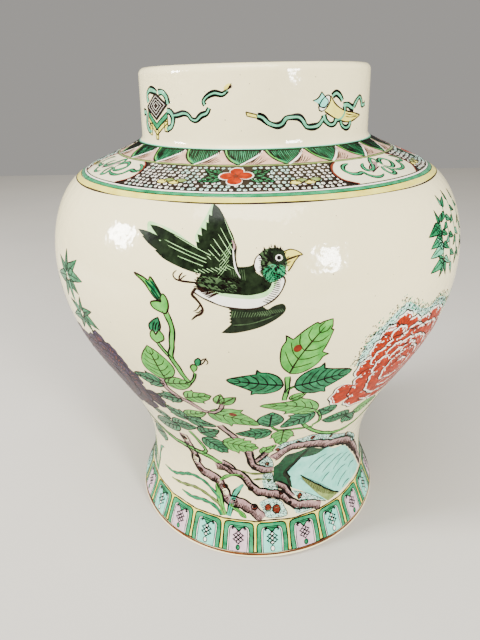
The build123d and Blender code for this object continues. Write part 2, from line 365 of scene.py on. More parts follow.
# ---- the wall --------------------------------------------------------------------------------
@dataclass
class Wall:
    """The jar's glazed outside, measured from its CAD node, as a place to lay glaze and enamel.

    Distances down the wall start at the neck's root and are negative on the neck.
    """

    skin: float = -0.30  # mm from the CAD glaze to the visible coat, so that enamels stay inside its box
    waver: float = 0.04  # mm of hand-thrown unevenness
    knots: int = 44
    step: float = 0.5  # mm between the rows of the look-up table
    seam: float = 1.0  # mm from the luted joint up to the neck's root
    rows: list[tuple[float, float, float, float]] = field(default_factory=list)
    length: float = 0.0
    root: float = 0.0
    neck: float = 0.0
    top: float = 0.0
    above: int = 0  # rows above the neck's root
    tree: BVHTree | None = None

    def measure(self) -> "Wall":
        """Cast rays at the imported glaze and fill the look-up table.

        Returns:
            The wall itself.
        """
        node = frame["nodes"]["outer_glaze"].data
        corners = [v.co for v in node.vertices]
        self.tree = BVHTree.FromPolygons(corners, [tuple(p.vertices) for p in node.polygons])
        self.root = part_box("neck_collar")[0].z / MM + self.seam
        self.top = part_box("outer_glaze")[1].z / MM
        self.neck = self.top - self.root
        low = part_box("outer_glaze")[0].z / MM + 0.3
        coarse = self.points_between(self.root - 0.05, low, 240)
        knots = self.spread(coarse, self.knots)
        dense = through(knots, parts=24)
        fine = self.spread(dense, round(self.arc(dense) / self.step) + 1)
        self.length = self.arc(fine)
        foot = self.radius_by_ray(self.root + 1.0)
        lean = (foot - self.radius_by_ray(self.root + self.neck * 0.8)) / (self.neck * 0.8 - 1.0)
        count = round(self.neck / self.step)
        collar = [(foot - lean * i * self.step, self.root + i * self.step) for i in range(count, 0, -1)]
        self.above = count
        self.rows = self.with_normals(collar, 0.0) + self.with_normals(fine, None)
        return self

    def radius_by_ray(self, height: float) -> float:
        """The glazed radius at a height.

        Args:
            height: Millimetres above the foot.

        Returns:
            The largest radius that rays from several sides meet, in mm.
        """
        found = []
        for i in range(24):
            turn = math.tau * (i + 0.37) / 24
            away = Vector((math.cos(turn), math.sin(turn), 0))
            hit = self.tree.ray_cast(away + Vector((0, 0, height * MM)), -away)
            found.append(math.hypot(hit[0].x, hit[0].y) / MM)
        return max(found)

    def points_between(self, high: float, low: float, count: int) -> Path:
        """Radius and height pairs from one height down to another."""
        heights = [high + (low - high) * (i / count) ** 1.5 for i in range(count + 1)]
        return [(self.radius_by_ray(z), z) for z in heights]

    @staticmethod
    def arc(points: Path) -> float:
        """The length of a broken line."""
        return sum(math.dist(a, b) for a, b in zip(points, points[1:]))

    @staticmethod
    def spread(points: Path, count: int) -> Path:
        """Points evenly spaced along a broken line.

        Args:
            points: The line's corners.
            count: How many points to place, both ends among them.

        Returns:
            The evenly spaced points.
        """
        total, out, done, index = Wall.arc(points), [], 0.0, 0
        for i in range(count):
            want = total * i / (count - 1)
            while index < len(points) - 2 and done + math.dist(points[index], points[index + 1]) < want:
                done += math.dist(points[index], points[index + 1])
                index += 1
            a, b = points[index], points[index + 1]
            share = min(1.0, (want - done) / max(math.dist(a, b), 1e-9))
            out.append((a[0] + (b[0] - a[0]) * share, a[1] + (b[1] - a[1]) * share))
        return out

    @staticmethod
    def with_normals(points: Path, flat: float | None) -> list[tuple[float, float, float, float]]:
        """Rows of radius, height and outward normal.

        Args:
            points: Radius and height pairs, from the top down.
            flat: The normal's height share where it is the same all along, or None to work it out.

        Returns:
            One row for each point.
        """
        rows = []
        for i, (r, z) in enumerate(points):
            a, b = points[max(i - 1, 0)], points[min(i + 1, len(points) - 1)]
            span = math.dist(a, b)
            if flat is None:
                rows.append((r, z, (a[1] - b[1]) / span, (b[0] - a[0]) / span))
            else:
                rows.append((r, z, math.sqrt(1 - flat * flat), flat))
        return rows

    def section(self, down: float) -> tuple[float, float, float, float]:
        """Radius, height and normal at a distance down the wall.

        Args:
            down: Millimetres down the wall, negative on the neck.

        Returns:
            Radius, height and the two shares of the outward normal.
        """
        at = min(max(down / self.step + self.above, 0.0), len(self.rows) - 1.001)
        i = int(at)
        t = at - i
        a, b = self.rows[i], self.rows[i + 1]
        return tuple(p + (q - p) * t for p, q in zip(a, b))

    def radius(self, down: float) -> float:
        """The radius at a distance down the wall, in mm."""
        return self.section(down)[0]

    def down_at(self, height: float) -> float:
        """The distance down the wall at which it reaches a height."""
        i = min(range(len(self.rows)), key=lambda k: abs(self.rows[k][1] - height))
        return (i - self.above) * self.step

    def spot(self, azimuth: float, down: float, lift: float = 0.0) -> Vector:
        """A point on or over the glaze.

        Args:
            azimuth: Radians from the front.
            down: Millimetres down the wall.
            lift: Millimetres over the glaze.

        Returns:
            The point, in metres.
        """
        r, z, nr, nz = self.section(down)
        uneven = self.waver * math.sin(2 * azimuth + down / 37) * math.cos(3 * azimuth - down / 53)
        out = self.skin + uneven + lift
        r, z = r + nr * out, z + nz * out
        return Vector((r * math.sin(azimuth) * MM, -r * math.cos(azimuth) * MM, z * MM))


def through(points: Path, closed: bool = False, parts: int = 0, step: float = 1.2) -> Path:
    """A smooth line through points. A point given twice running is a sharp corner.

    Args:
        points: The points to pass through.
        closed: Whether the line comes back to its start.
        parts: How many parts lie between two points, or 0 to choose by step.
        step: The length of a part, in mm, where parts is 0.

    Returns:
        The points of the fine line, without the repeated end of a closed one.
    """
    count = len(points)
    spans = count if closed else count - 1
    out: Path = []
    for i in range(spans):
        p1, p2 = points[i], points[(i + 1) % count]
        if p1 == p2:
            continue
        p0 = points[i - 1] if closed or i > 0 else p1
        p3 = points[(i + 2) % count] if closed or i + 2 < count else p2
        pieces = parts or max(1, round(math.dist(p1, p2) / step))
        for k in range(pieces):
            t = k / pieces
            out.append(tuple(blend(p0[c], p1[c], p2[c], p3[c], t) for c in (0, 1)))
    if not closed:
        out.append(points[-1])
    return out


def blend(a: float, b: float, c: float, d: float, t: float) -> float:
    """The value a share of the way from b to c on a smooth curve through all four."""
    return b + 0.5 * t * (c - a + t * (2 * a - 5 * b + 4 * c - d + t * (3 * (b - c) + d - a)))


@dataclass(frozen=True)
class Place:
    """Where a drawing lies on the wall: its own millimetres, x right and y up, start at this anchor."""

    azimuth: float = 0.0  # degrees
    down: float = 150.0
    turn: float = 0.0  # degrees, anticlockwise
    size: float = 1.0
    mirrored: bool = False

    def on_wall(self, wall: Wall, point: Point) -> Point:
        """The azimuth, in radians, and the distance down of a drawn point.

        Args:
            wall: The wall.
            point: The point in the drawing's millimetres.

        Returns:
            The azimuth and the distance down.
        """
        c, s = math.cos(math.radians(self.turn)), math.sin(math.radians(self.turn))
        x, y = point[0] * self.size, point[1] * self.size
        x, y = x * c - y * s, x * s + y * c
        x = -x if self.mirrored else x
        return math.radians(self.azimuth) + x / wall.radius(self.down), self.down - y

    def moved(self, x: float, y: float, wall: Wall, turn: float = 0.0, size: float = 1.0) -> "Place":
        """A place for a smaller drawing at a point of this one.

        Args:
            x: Millimetres to the right of this place's anchor.
            y: Millimetres above it.
            wall: The wall.
            turn: Degrees by which the smaller drawing is turned.
            size: Its size as a share of this one's.

        Returns:
            The new place.
        """
        azimuth, down = self.on_wall(wall, (x, y))
        side = -turn if self.mirrored else turn
        return Place(math.degrees(azimuth), down, self.turn + side, self.size * size, self.mirrored)


# ---- laying enamel ---------------------------------------------------------------------------
@dataclass
class Skin:
    """The corners and faces of one enamel in one sub-assembly."""

    corners: list[Vector] = field(default_factory=list)
    faces: list[tuple[int, ...]] = field(default_factory=list)

    def add(self, corners: list[Vector], faces: list[tuple[int, ...]]) -> None:
        """Add a closed shell.

        Args:
            corners: The shell's vertices, in metres.
            faces: Its faces, counted from its own first vertex.
        """
        start = len(self.corners)
        self.corners.extend(corners)
        self.faces.extend(tuple(start + i for i in face) for face in faces)


class Thin(Enum):
    """Which ends of a stroke thin out."""

    NONE = "none"
    FIRST = "first"
    LAST = "last"
    BOTH = "both"


@dataclass
class Brush:
    """A painter's brush: it lays closed skins of enamel on the wall and turns each colour into one piece."""

    wall: Wall
    name: str
    seed: int = 1
    skins: dict[Enamel, Skin] = field(default_factory=dict)
    place: Place = Place()

    def __post_init__(self) -> None:
        """Start the brush's own run of random numbers."""
        self.chance = random.Random(self.seed)

    def skin(self, enamel: Enamel) -> Skin:
        """The skin of one enamel."""
        return self.skins.setdefault(enamel, Skin())

    def fill(self, enamel: Enamel, outline: Path, lift: float = WASH, smooth: bool = True,
             grid: float = 4.5) -> None:
        """Lay a wash inside an outline.

        Args:
            enamel: The colour.
            outline: The closed outline in the drawing's millimetres, with corners given twice.
            lift: The wash's height over the glaze.
            smooth: Whether to round the outline through its points.
            grid: The spacing of points inside, so that the wash follows the wall.
        """
        edge = through(outline, closed=True) if smooth else refine(outline, 3.0)
        inner = inside_points(edge, grid)
        flat = [Vector(p) for p in edge + inner]
        count = len(edge)
        done = delaunay_2d_cdt(flat, [], [list(range(count))], 1, 1e-5)
        verts, triangles = done[0], done[2]
        rim = [not origin or min(origin) < count for origin in done[3]]
        top, low = [], []
        for vertex, on_rim in zip(verts, rim):
            azimuth, down = self.place.on_wall(self.wall, (vertex.x, vertex.y))
            top.append(self.wall.spot(azimuth, down, max(lift - EDGE_DROP, 0.6 * lift) if on_rim else lift))
            low.append(self.wall.spot(azimuth, down, UNDER))
        self.close(enamel, top, low, [tuple(t) for t in triangles])

    def close(self, enamel: Enamel, top: list[Vector], low: list[Vector],
              faces: list[tuple[int, ...]]) -> None:
        """Close a sheet of faces into a shell with a lower side and an edge.

        Args:
            enamel: The colour.
            top: The sheet's vertices, in metres.
            low: The vertices under them.
            faces: The sheet's faces, wound either way.
        """
        if not faces:
            return
        count = len(top)
        outward = Vector((top[0].x, top[0].y, 0)).normalized() + Vector((0, 0, 0.5))
        facing = sum(((top[f[1]] - top[f[0]]).cross(top[f[2]] - top[f[0]]) for f in faces[:20]), Vector())
        if facing.dot(outward) < 0:
            faces = [tuple(reversed(face)) for face in faces]
        sides: dict[tuple[int, int], bool] = {}
        for face in faces:
            for i, j in zip(face, face[1:] + face[:1]):
                if (j, i) in sides:
                    del sides[(j, i)]
                else:
                    sides[(i, j)] = True
        under = [tuple(count + i for i in reversed(face)) for face in faces]
        edge = [(j, i, count + i, count + j) for i, j in sides]
        self.skin(enamel).add(top + low, faces + under + edge)

    def stroke(self, enamel: Enamel, points: Path, width: float, lift: float = LINE, ends: Thin = Thin.BOTH,
               shake: float = 0.12, smooth: bool = True) -> None:
        """Draw a line with a loaded brush.

        Args:
            enamel: The colour.
            points: The line's points in the drawing's millimetres.
            width: Its width at the fullest.
            lift: The height of its crown over the glaze.
            ends: Which ends thin out.
            shake: How unsteady the hand is, in mm.
            smooth: Whether to round the line through its points.
        """
        if enamel in LINE_COLOURS:
            width *= LINE_WEIGHT
        path = through(points) if smooth else refine(points, 1.5)
        if len(path) < 2:
            return
        spots = [self.place.on_wall(self.wall, p) for p in path]
        last = len(spots) - 1
        phase = self.chance.uniform(0, math.tau)
        pace = self.chance.uniform(0.35, 0.6)
        corners = []
        for i, (azimuth, down) in enumerate(spots):
            radius = self.wall.radius(down)
            before, after = spots[max(i - 1, 0)], spots[min(i + 1, last)]
            tx, ty = (after[0] - before[0]) * radius, before[1] - after[1]
            length = math.hypot(tx, ty) or 1.0
            nx, ny = -ty / length, tx / length
            share = i / last
            swell = 1 + 0.16 * math.sin(phase + i * pace)
            half = width / 2 * self.place.size * fullness(share, ends) * swell
            drift = shake * math.sin(phase * 2 + i * pace * 0.7)
            for side, high in ((1.0, UNDER), (0.8, lift), (-0.8, lift), (-1.0, UNDER)):
                off = half * side + drift
                corners.append(self.wall.spot(azimuth + nx * off / radius, down - ny * off, high))
        faces = [(3, 2, 1, 0), tuple(last * 4 + k for k in range(4))]
        for i in range(last):
            for k in range(4):
                a, b = i * 4 + k, i * 4 + (k + 1) % 4
                faces.append((b, b + 4, a + 4, a))
        self.skin(enamel).add(corners, faces)

    def dot(self, enamel: Enamel, centre: Point, radius: float, lift: float = LINE, sides: int = 7,
            squash: float = 1.0) -> None:
        """Press one dot of enamel.

        Args:
            enamel: The colour.
            centre: Its centre in the drawing's millimetres.
            radius: Its radius in mm.
            lift: Its height over the glaze.
            sides: How many sides its outline has.
            squash: Its height as a share of its width.
        """
        azimuth, down = self.place.on_wall(self.wall, centre)
        around = self.wall.radius(down)
        start = self.chance.uniform(0, math.tau)
        corners = []
        for share, high in ((1.0, UNDER), (0.72, lift)):
            for k in range(sides):
                turn = start + math.tau * k / sides
                reach = radius * self.place.size * share
                x, y = reach * math.cos(turn), reach * math.sin(turn) * squash
                corners.append(self.wall.spot(azimuth + x / around, down - y, high))
        ring = list(range(sides))
        faces = [tuple(reversed(ring)), tuple(sides + k for k in ring)]
        faces += [(k, (k + 1) % sides, sides + (k + 1) % sides, sides + k) for k in ring]
        self.skin(enamel).add(corners, faces)

    def ring(self, enamel: Enamel, high: float, low: float, lift: float = WASH, wobble: float = 0.0) -> None:
        """Lay a band round the jar.

        Args:
            enamel: The colour.
            high: The distance down of its upper edge.
            low: The distance down of its lower edge.
            lift: Its height over the glaze.
            wobble: How far its edges wander, in mm.
        """
        count = RING_SECTIONS
        phase = self.chance.uniform(0, math.tau)
        rows = max(1, math.ceil((low - high) / 4))
        width = rows + 1
        top, under = [], []
        for i in range(count):
            azimuth = math.radians(360.0 * i / count)
            wander = wobble * (math.sin(5 * azimuth + phase) + 0.6 * math.sin(13 * azimuth + 2 * phase)) / 1.6
            wander_low = wobble * (math.sin(7 * azimuth - phase) + 0.6 * math.sin(11 * azimuth + phase)) / 1.6
            for k in range(width):
                share = k / rows
                down = high + wander + (low + wander_low - high - wander) * share
                rim = k in (0, rows)
                top.append(self.wall.spot(azimuth, down, lift * 0.6 if rim else lift))
                under.append(self.wall.spot(azimuth, down, UNDER))
        faces = []
        for i in range(count):
            j = (i + 1) % count
            for k in range(rows):
                faces.append((i * width + k, i * width + k + 1, j * width + k + 1, j * width + k))
        self.close(enamel, top, under, faces)

    def finish(self, replaced: dict[Enamel, str] | None = None) -> None:
        """Turn every skin into a piece, and hide the CAD node that it stands for.

        Args:
            replaced: CAD nodes by the enamel that stands for them.
        """
        for enamel, skin in self.skins.items():
            if not skin.faces:
                continue
            piece = new_piece(f"{self.name}_{enamel.name.lower()}", skin.corners, skin.faces, enamel.value)
            node = (replaced or {}).get(enamel)
            if node:
                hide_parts(node)


def fullness(share: float, ends: Thin) -> float:
    """How full a stroke is at a share of its length, from 0.12 at a thin end to 1.

    Args:
        share: How far along the stroke, from 0 to 1.
        ends: Which ends thin out.

    Returns:
        The share of the full width.
    """
    first = min(1.0, share / 0.18) if ends in (Thin.BOTH, Thin.FIRST) else 1.0
    last = min(1.0, (1 - share) / 0.3) if ends in (Thin.BOTH, Thin.LAST) else 1.0
    return 0.12 + 0.88 * math.sqrt(max(0.0, first * last))


def refine(points: Path, step: float) -> Path:
    """Straight sides cut into parts no longer than a step; closed outlines leave out the last side's end.

    Args:
        points: The corners.
        step: The longest part, in mm.

    Returns:
        The finer line.
    """
    out: Path = []
    for a, b in zip(points, points[1:] + points[:1]):
        count = max(1, math.ceil(math.dist(a, b) / step))
        out += [(a[0] + (b[0] - a[0]) * k / count, a[1] + (b[1] - a[1]) * k / count) for k in range(count)]
    return out


def inside(point: Point, outline: Path) -> bool:
    """Whether a point lies inside an outline.

    Args:
        point: The point.
        outline: The closed outline.

    Returns:
        True where it lies inside.
    """
    x, y = point
    odd = False
    for (x1, y1), (x2, y2) in zip(outline, outline[1:] + outline[:1]):
        if (y1 > y) != (y2 > y) and x < (x2 - x1) * (y - y1) / (y2 - y1) + x1:
            odd = not odd
    return odd


def inside_points(outline: Path, step: float) -> Path:
    """Points of a grid that lie well inside an outline.

    Args:
        outline: The closed outline.
        step: The grid's spacing.

    Returns:
        The points, row by row.
    """
    xs, ys = [p[0] for p in outline], [p[1] for p in outline]
    out = []
    row = 0
    y = min(ys) + step / 2
    while y < max(ys):
        x = min(xs) + (step / 2 if row % 2 else step)
        while x < max(xs):
            if inside((x, y), outline) and min(math.dist((x, y), p) for p in outline) > step * 0.35:
                out.append((x, y))
            x += step
        y += step * 0.87
        row += 1
    return out


def new_piece(name: str, corners: list[Vector], faces: list[tuple[int, ...]],
              finish: FiredGlaze | BareClay | LeadEnamel) -> bpy.types.Object:
    """Make a piece that rides on the jar.

    Args:
        name: The piece's name.
        corners: Its vertices, in metres.
        faces: Its faces.
        finish: What it is made of.

    Returns:
        The new object.
    """
    mesh = bpy.data.meshes.new(name)
    mesh.from_pydata([tuple(c) for c in corners], [], faces)
    mesh.validate()
    mesh.shade_smooth()
    mesh.set_sharp_from_angle(angle=CREASE)
    mesh.materials.append(material_of(finish))
    piece = bpy.data.objects.new(name, mesh)
    bpy.context.scene.collection.objects.link(piece)
    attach(piece, BODY)
    LOG.info("%s: %d corners, %d faces, %s", name, len(corners), len(faces), finish.name)
    return piece


# ---- the glazed pot --------------------------------------------------------------------------
@dataclass
class GlazedPot:
    """The clear glaze outside and in, and the clay nodes that stay as they are."""

    wall: Wall
    around: int = 240  # sections round the jar
    coat: float = 0.25  # mm of the coat that is modelled
    lip_round: float = 5.0
    mouth_round: float = 2.6
    clay: float = 8.0
    pool: float = 1.6  # the glaze gathers in the corner under the neck with this radius
    mouth: float = 0.0  # radius of the visible lining in the neck, from the mount

    def build(self) -> None:
        """Lay the coat and the lining, and give the clay its finishes."""
        mouth = next(m for m in frame["record"]["mounts"] if m["name"] == "mouth")["dims"]["r_mm"]
        self.mouth = mouth - self.wall.skin
        self.lay_coat()
        self.lay_lining()
        for name in ("foot_section", "lower_body", "upper_body", "neck_collar", "waist_slip", "belly_slip",
                     "neck_slip"):
            dress_node(frame["nodes"][name], BareClay())
        dress_node(frame["nodes"]["base_glaze"], FiredGlaze())

    def lip(self, depth: float) -> Path:
        """The lip's outer rounding, from the crown to the straight neck, at a depth under the coat.

        Args:
            depth: Millimetres under the coat.

        Returns:
            Radius and height pairs.
        """
        neck, top = self.wall.radius(-self.wall.neck + self.lip_round), self.wall.top + self.wall.skin
        centre = (neck + self.wall.skin - self.lip_round, top - self.lip_round)
        reach = self.lip_round - depth
        arc = [(centre[0] + reach * math.sin(a), centre[1] + reach * math.cos(a)) for a in quarter(9)]
        return [(self.crown(), top - depth)] + arc

    def crown(self) -> float:
        """The radius at which the coat and the lining meet on the lip."""
        neck = self.wall.radius(-self.wall.neck + self.lip_round)
        return (neck + self.mouth) / 2 - 1.2

    def lay_coat(self) -> None:
        """One coat from the lip to the foot's edge."""
        wall = self.wall
        downs = [-wall.neck + self.lip_round + 1 + i * 2.0 for i in range(int((wall.neck - 8) / 2))]
        body = [self.pool + i * 2.6 for i in range(int((wall.length - self.pool) / 2.6))] + [wall.length]
        corner = [(-self.pool, 0.12), (-0.5, 0.5), (0.7, 0.6)]
        outer = [(d, 0.0) for d in downs] + corner + [(d, 0.0) for d in body]
        profile = [outer, [(d, -self.coat) for d, _ in reversed(outer)]]
        self.lathe("glaze_coat", self.lip(0.0), profile, list(reversed(self.lip(self.coat))), "outer_glaze")

    def lathe(self, name: str, before: Path, runs: list[Path], after: Path, node: str) -> None:
        """Turn a closed shell whose middle follows the wall.

        Args:
            name: The piece's name.
            before: Radius and height pairs before the wall's runs.
            runs: Runs of distance down the wall and lift over the coat.
            after: Radius and height pairs after them.
            node: The CAD node that it stands for.
        """
        corners: list[Vector] = []
        for i in range(self.around):
            azimuth = math.tau * i / self.around
            side = Vector((math.sin(azimuth), -math.cos(azimuth), 0))
            corners += [side * (r * MM) + Vector((0, 0, z * MM)) for r, z in before]
            for run in runs:
                corners += [self.wall.spot(azimuth, down, lift) for down, lift in run]
            corners += [side * (r * MM) + Vector((0, 0, z * MM)) for r, z in after]
        count = len(corners) // self.around
        faces = []
        for i in range(self.around):
            j = (i + 1) % self.around
            for k in range(count):
                m = (k + 1) % count
                faces.append((i * count + k, i * count + m, j * count + m, j * count + k))
        piece = new_piece(name, corners, faces, FiredGlaze())
        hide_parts(node)

    def lay_lining(self) -> None:
        """The lining, from the lip's crown down the inside and over the floor."""
        wall = self.wall
        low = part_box("inner_glaze")[0].z / MM
        depth = -(self.clay + 0.9)
        downs = (d / 2 for d in range(400))
        start = next(d for d in downs if wall.radius(d) + wall.section(d)[2] * depth > self.mouth + 2)
        end = wall.down_at(low + 14.0)
        body = [start + i * (end - start) / 110 for i in range(111)]
        inner = self.inner_run(body, depth)
        outer = self.inner_run(body, depth + self.coat)
        shell = self.lining_head(0.0) + inner + self.lining_floor(inner[-1], low + 0.3, 0.0)
        back = self.lining_head(self.coat) + outer + self.lining_floor(outer[-1], low + 0.3 - self.coat, 0.0)
        self.turn_capped("glaze_lining", shell, back)

    def inner_run(self, downs: list[float], depth: float) -> Path:
        """Radius and height pairs at a depth inside the wall."""
        rows = [self.wall.section(d) for d in downs]
        return [(r + nr * depth, z + nz * depth) for r, z, nr, nz in rows]

    def lining_head(self, back: float) -> Path:
        """The crown, the mouth's rounding and the straight neck, further out where back is more than 0.

        Args:
            back: Millimetres behind the seen side.

        Returns:
            Radius and height pairs, from the lip down.
        """
        top, mouth, reach = self.wall.top + self.wall.skin, self.mouth, self.mouth_round - back
        centre = (mouth + self.mouth_round, top - self.mouth_round)
        bends = reversed(quarter(7))
        arc = [(centre[0] - reach * math.cos(a), centre[1] + reach * math.sin(a)) for a in bends]
        neck = [(mouth + back, z) for z in steps(top - self.mouth_round - 2, self.wall.root - 5.0, 4.0)]
        return [(self.crown() - 0.02, top - back)] + arc + neck

    def lining_floor(self, corner: Point, floor: float, centre: float) -> Path:
        """The curve from the wall on to the floor, in to the centre.

        Args:
            corner: Radius and height at which the wall ends.
            floor: The floor's height.
            centre: The radius at which it ends.

        Returns:
            Radius and height pairs, from the wall in.
        """
        r, z = corner
        rim, drop = 9.0, z - floor
        bend = [(r - rim * (1 - math.cos(a)) - 0.5, floor + drop * (1 - math.sin(a))) for a in quarter(8)[1:]]
        return bend + [(s, floor) for s in steps(bend[-1][0] - 6, 6.0, 6.0)] + [(centre, floor)]

    def turn_capped(self, name: str, front: Path, back: Path) -> None:
        """Turn a shell that is open at the top only, from its seen side and its hidden side.

        Args:
            name: The piece's name.
            front: Radius and height pairs of the seen side, from the lip to the axis.
            back: The same for the hidden side.
        """
        around, count = self.around, len(front) - 1
        corners: list[Vector] = []
        for side in (front, back):
            for i in range(around):
                turn = math.tau * i / around
                corners += [Vector((r * math.sin(turn), -r * math.cos(turn), z)) * MM for r, z in side[:-1]]
            corners.append(Vector((0, 0, side[-1][1])) * MM)
        half = around * count + 1
        faces: list[tuple[int, ...]] = []
        for i in range(around):
            j = (i + 1) % around
            for k in range(count - 1):
                a, b, c, d = i * count + k, i * count + k + 1, j * count + k + 1, j * count + k
                faces += [(d, c, b, a), (half + a, half + b, half + c, half + d)]
            last, other = i * count + count - 1, j * count + count - 1
            faces += [(half - 1, last, other), (2 * half - 1, half + other, half + last)]
            faces.append((i * count, half + i * count, half + j * count, j * count))
        piece = new_piece(name, corners, faces, FiredGlaze())
        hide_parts("inner_glaze")


def quarter(count: int) -> list[float]:
    """Angles of a quarter turn."""
    return [math.pi / 2 * i / (count - 1) for i in range(count)]


def steps(start: float, end: float, size: float) -> list[float]:
    """Values from start down to end, evenly spaced at about a size."""
    count = max(1, round(abs(start - end) / size))
    return [start + (end - start) * i / count for i in range(count + 1)]


def dress_node(node: bpy.types.Object, finish: FiredGlaze | BareClay) -> None:
    """Give a CAD node a finish.

    Args:
        node: The node as it was packed.
        finish: What it is made of.
    """
    node.data.materials.clear()
    node.data.materials.append(material_of(finish))
    LOG.info("%s: %s", node.name, finish.name)


# ---- borders ---------------------------------------------------------------------------------
@dataclass
class Border:
    """Something that runs round the jar."""

    wall: Wall


@dataclass
class NeckLine(Border):
    """The dark green line at the neck's root, with a painted highlight along it as a pale turquoise streak,
    and a black lower edge.
    """

    def paint(self) -> None:
        """Lay the line."""
        brush = Brush(self.wall, "neck_line", 11)
        brush.ring(Enamel.SPRUCE, 0.8, 3.9, WASH, 0.15)
        # The pale turquoise ring is a painted highlight: the gloss of the thick green enamel, laid as colour.
        brush.ring(Enamel.SEA, 1.4, 2.2, LINE, 0.12)
        brush.ring(Enamel.INK, 3.0, 4.4, LINE, 0.25)
        brush.finish({Enamel.SPRUCE: "neck_line_enamel"})


@dataclass
class WaveBand(Border):
    """Hatched green fans between blush waves with white crests."""

    fans: int = 22
    high: float = 3.4
    low: float = 20.2
    first: float = -5.4  # azimuth of one fan's point, in degrees

    def paint(self) -> None:
        """Lay the band, one fan after another."""
        brush = Brush(self.wall, "wave_band", 12)
        middle = (self.high + self.low) / 2
        brush.ring(Enamel.BLUSH, self.high, self.low, UNDER + 0.08)
        pitch = math.tau * self.wall.radius(middle) / self.fans
        tall = self.low - self.high
        for i in range(self.fans):
            brush.place = Place(self.first + 360 * i / self.fans, self.low)
            self.fan(brush, pitch, tall)
        brush.ring(Enamel.OLIVE, self.low + 0.1, self.low + 1.8, WASH, 0.12)
        brush.ring(Enamel.INK, self.low - 0.3, self.low + 0.2, LINE, 0.15)
        brush.ring(Enamel.SEPIA, self.low + 1.6, self.low + 2.1, LINE, 0.2)
        brush.finish()

    def fan(self, brush: Brush, pitch: float, tall: float) -> None:
        """One fan, its hatching, and the white crest and hatching of the wave beside it.

        Args:
            brush: The brush to paint with.
            pitch: Millimetres from one fan to the next.
            tall: The band's height in mm.
        """
        left, right = -0.45 * pitch, 0.55 * pitch
        bow = [(left, tall), (left * 0.78, tall * 0.62), (left * 0.42, tall * 0.24), (0, 0)]
        rise = [(0, 0), (right * 0.35, tall * 0.3), (right * 0.7, tall * 0.66), (right * 0.97, tall)]
        brush.fill(Enamel.JADE, bow + rise + rise[-1:] + bow[:1], WASH)
        brush.stroke(Enamel.LEAF, [(x + 1.3, y + 0.2) for x, y in bow[:3]] + [(0, 1.6)], 1.3, TINT, Thin.LAST)
        lines = 19
        for k in range(lines):
            share = (k + 0.6) / lines
            x = left * 0.86 + (right * 0.97 - left * 0.86) * share
            reach = tall * (0.93 - 0.83 * abs(share - 0.36) ** 0.9 * 1.25)
            slant = pitch * 0.13 * (1.1 - share)
            path = [(x, tall), (x + slant * 0.35, tall - reach * 0.45), (x + slant, tall - max(reach, 2.0))]
            brush.stroke(Enamel.INK, path, 0.56, LINE, Thin.LAST)
        brush.stroke(Enamel.INK, bow, 0.8, LINE, Thin.NONE)
        crest = [(x + 1.2, y - 0.4) for x, y in rise]
        brush.stroke(Enamel.CREAM, crest, 2.0, TINT, Thin.BOTH)
        brush.stroke(Enamel.INK, rise, 0.45, TOP, Thin.BOTH)
        for k in range(9):
            share = (k + 0.5) / 9
            x = right * (0.32 + 0.72 * share)
            low = brush.chance.uniform(0.02, 0.08) * tall
            high = low + tall * (0.62 - 0.62 * abs(share - 0.55) * 1.5)
            brush.stroke(Enamel.SEPIA, [(x - 3.0, low), (x, (low + high) / 2),
                                        (x + 2.4, max(high, low + 1))], 0.4, TINT)


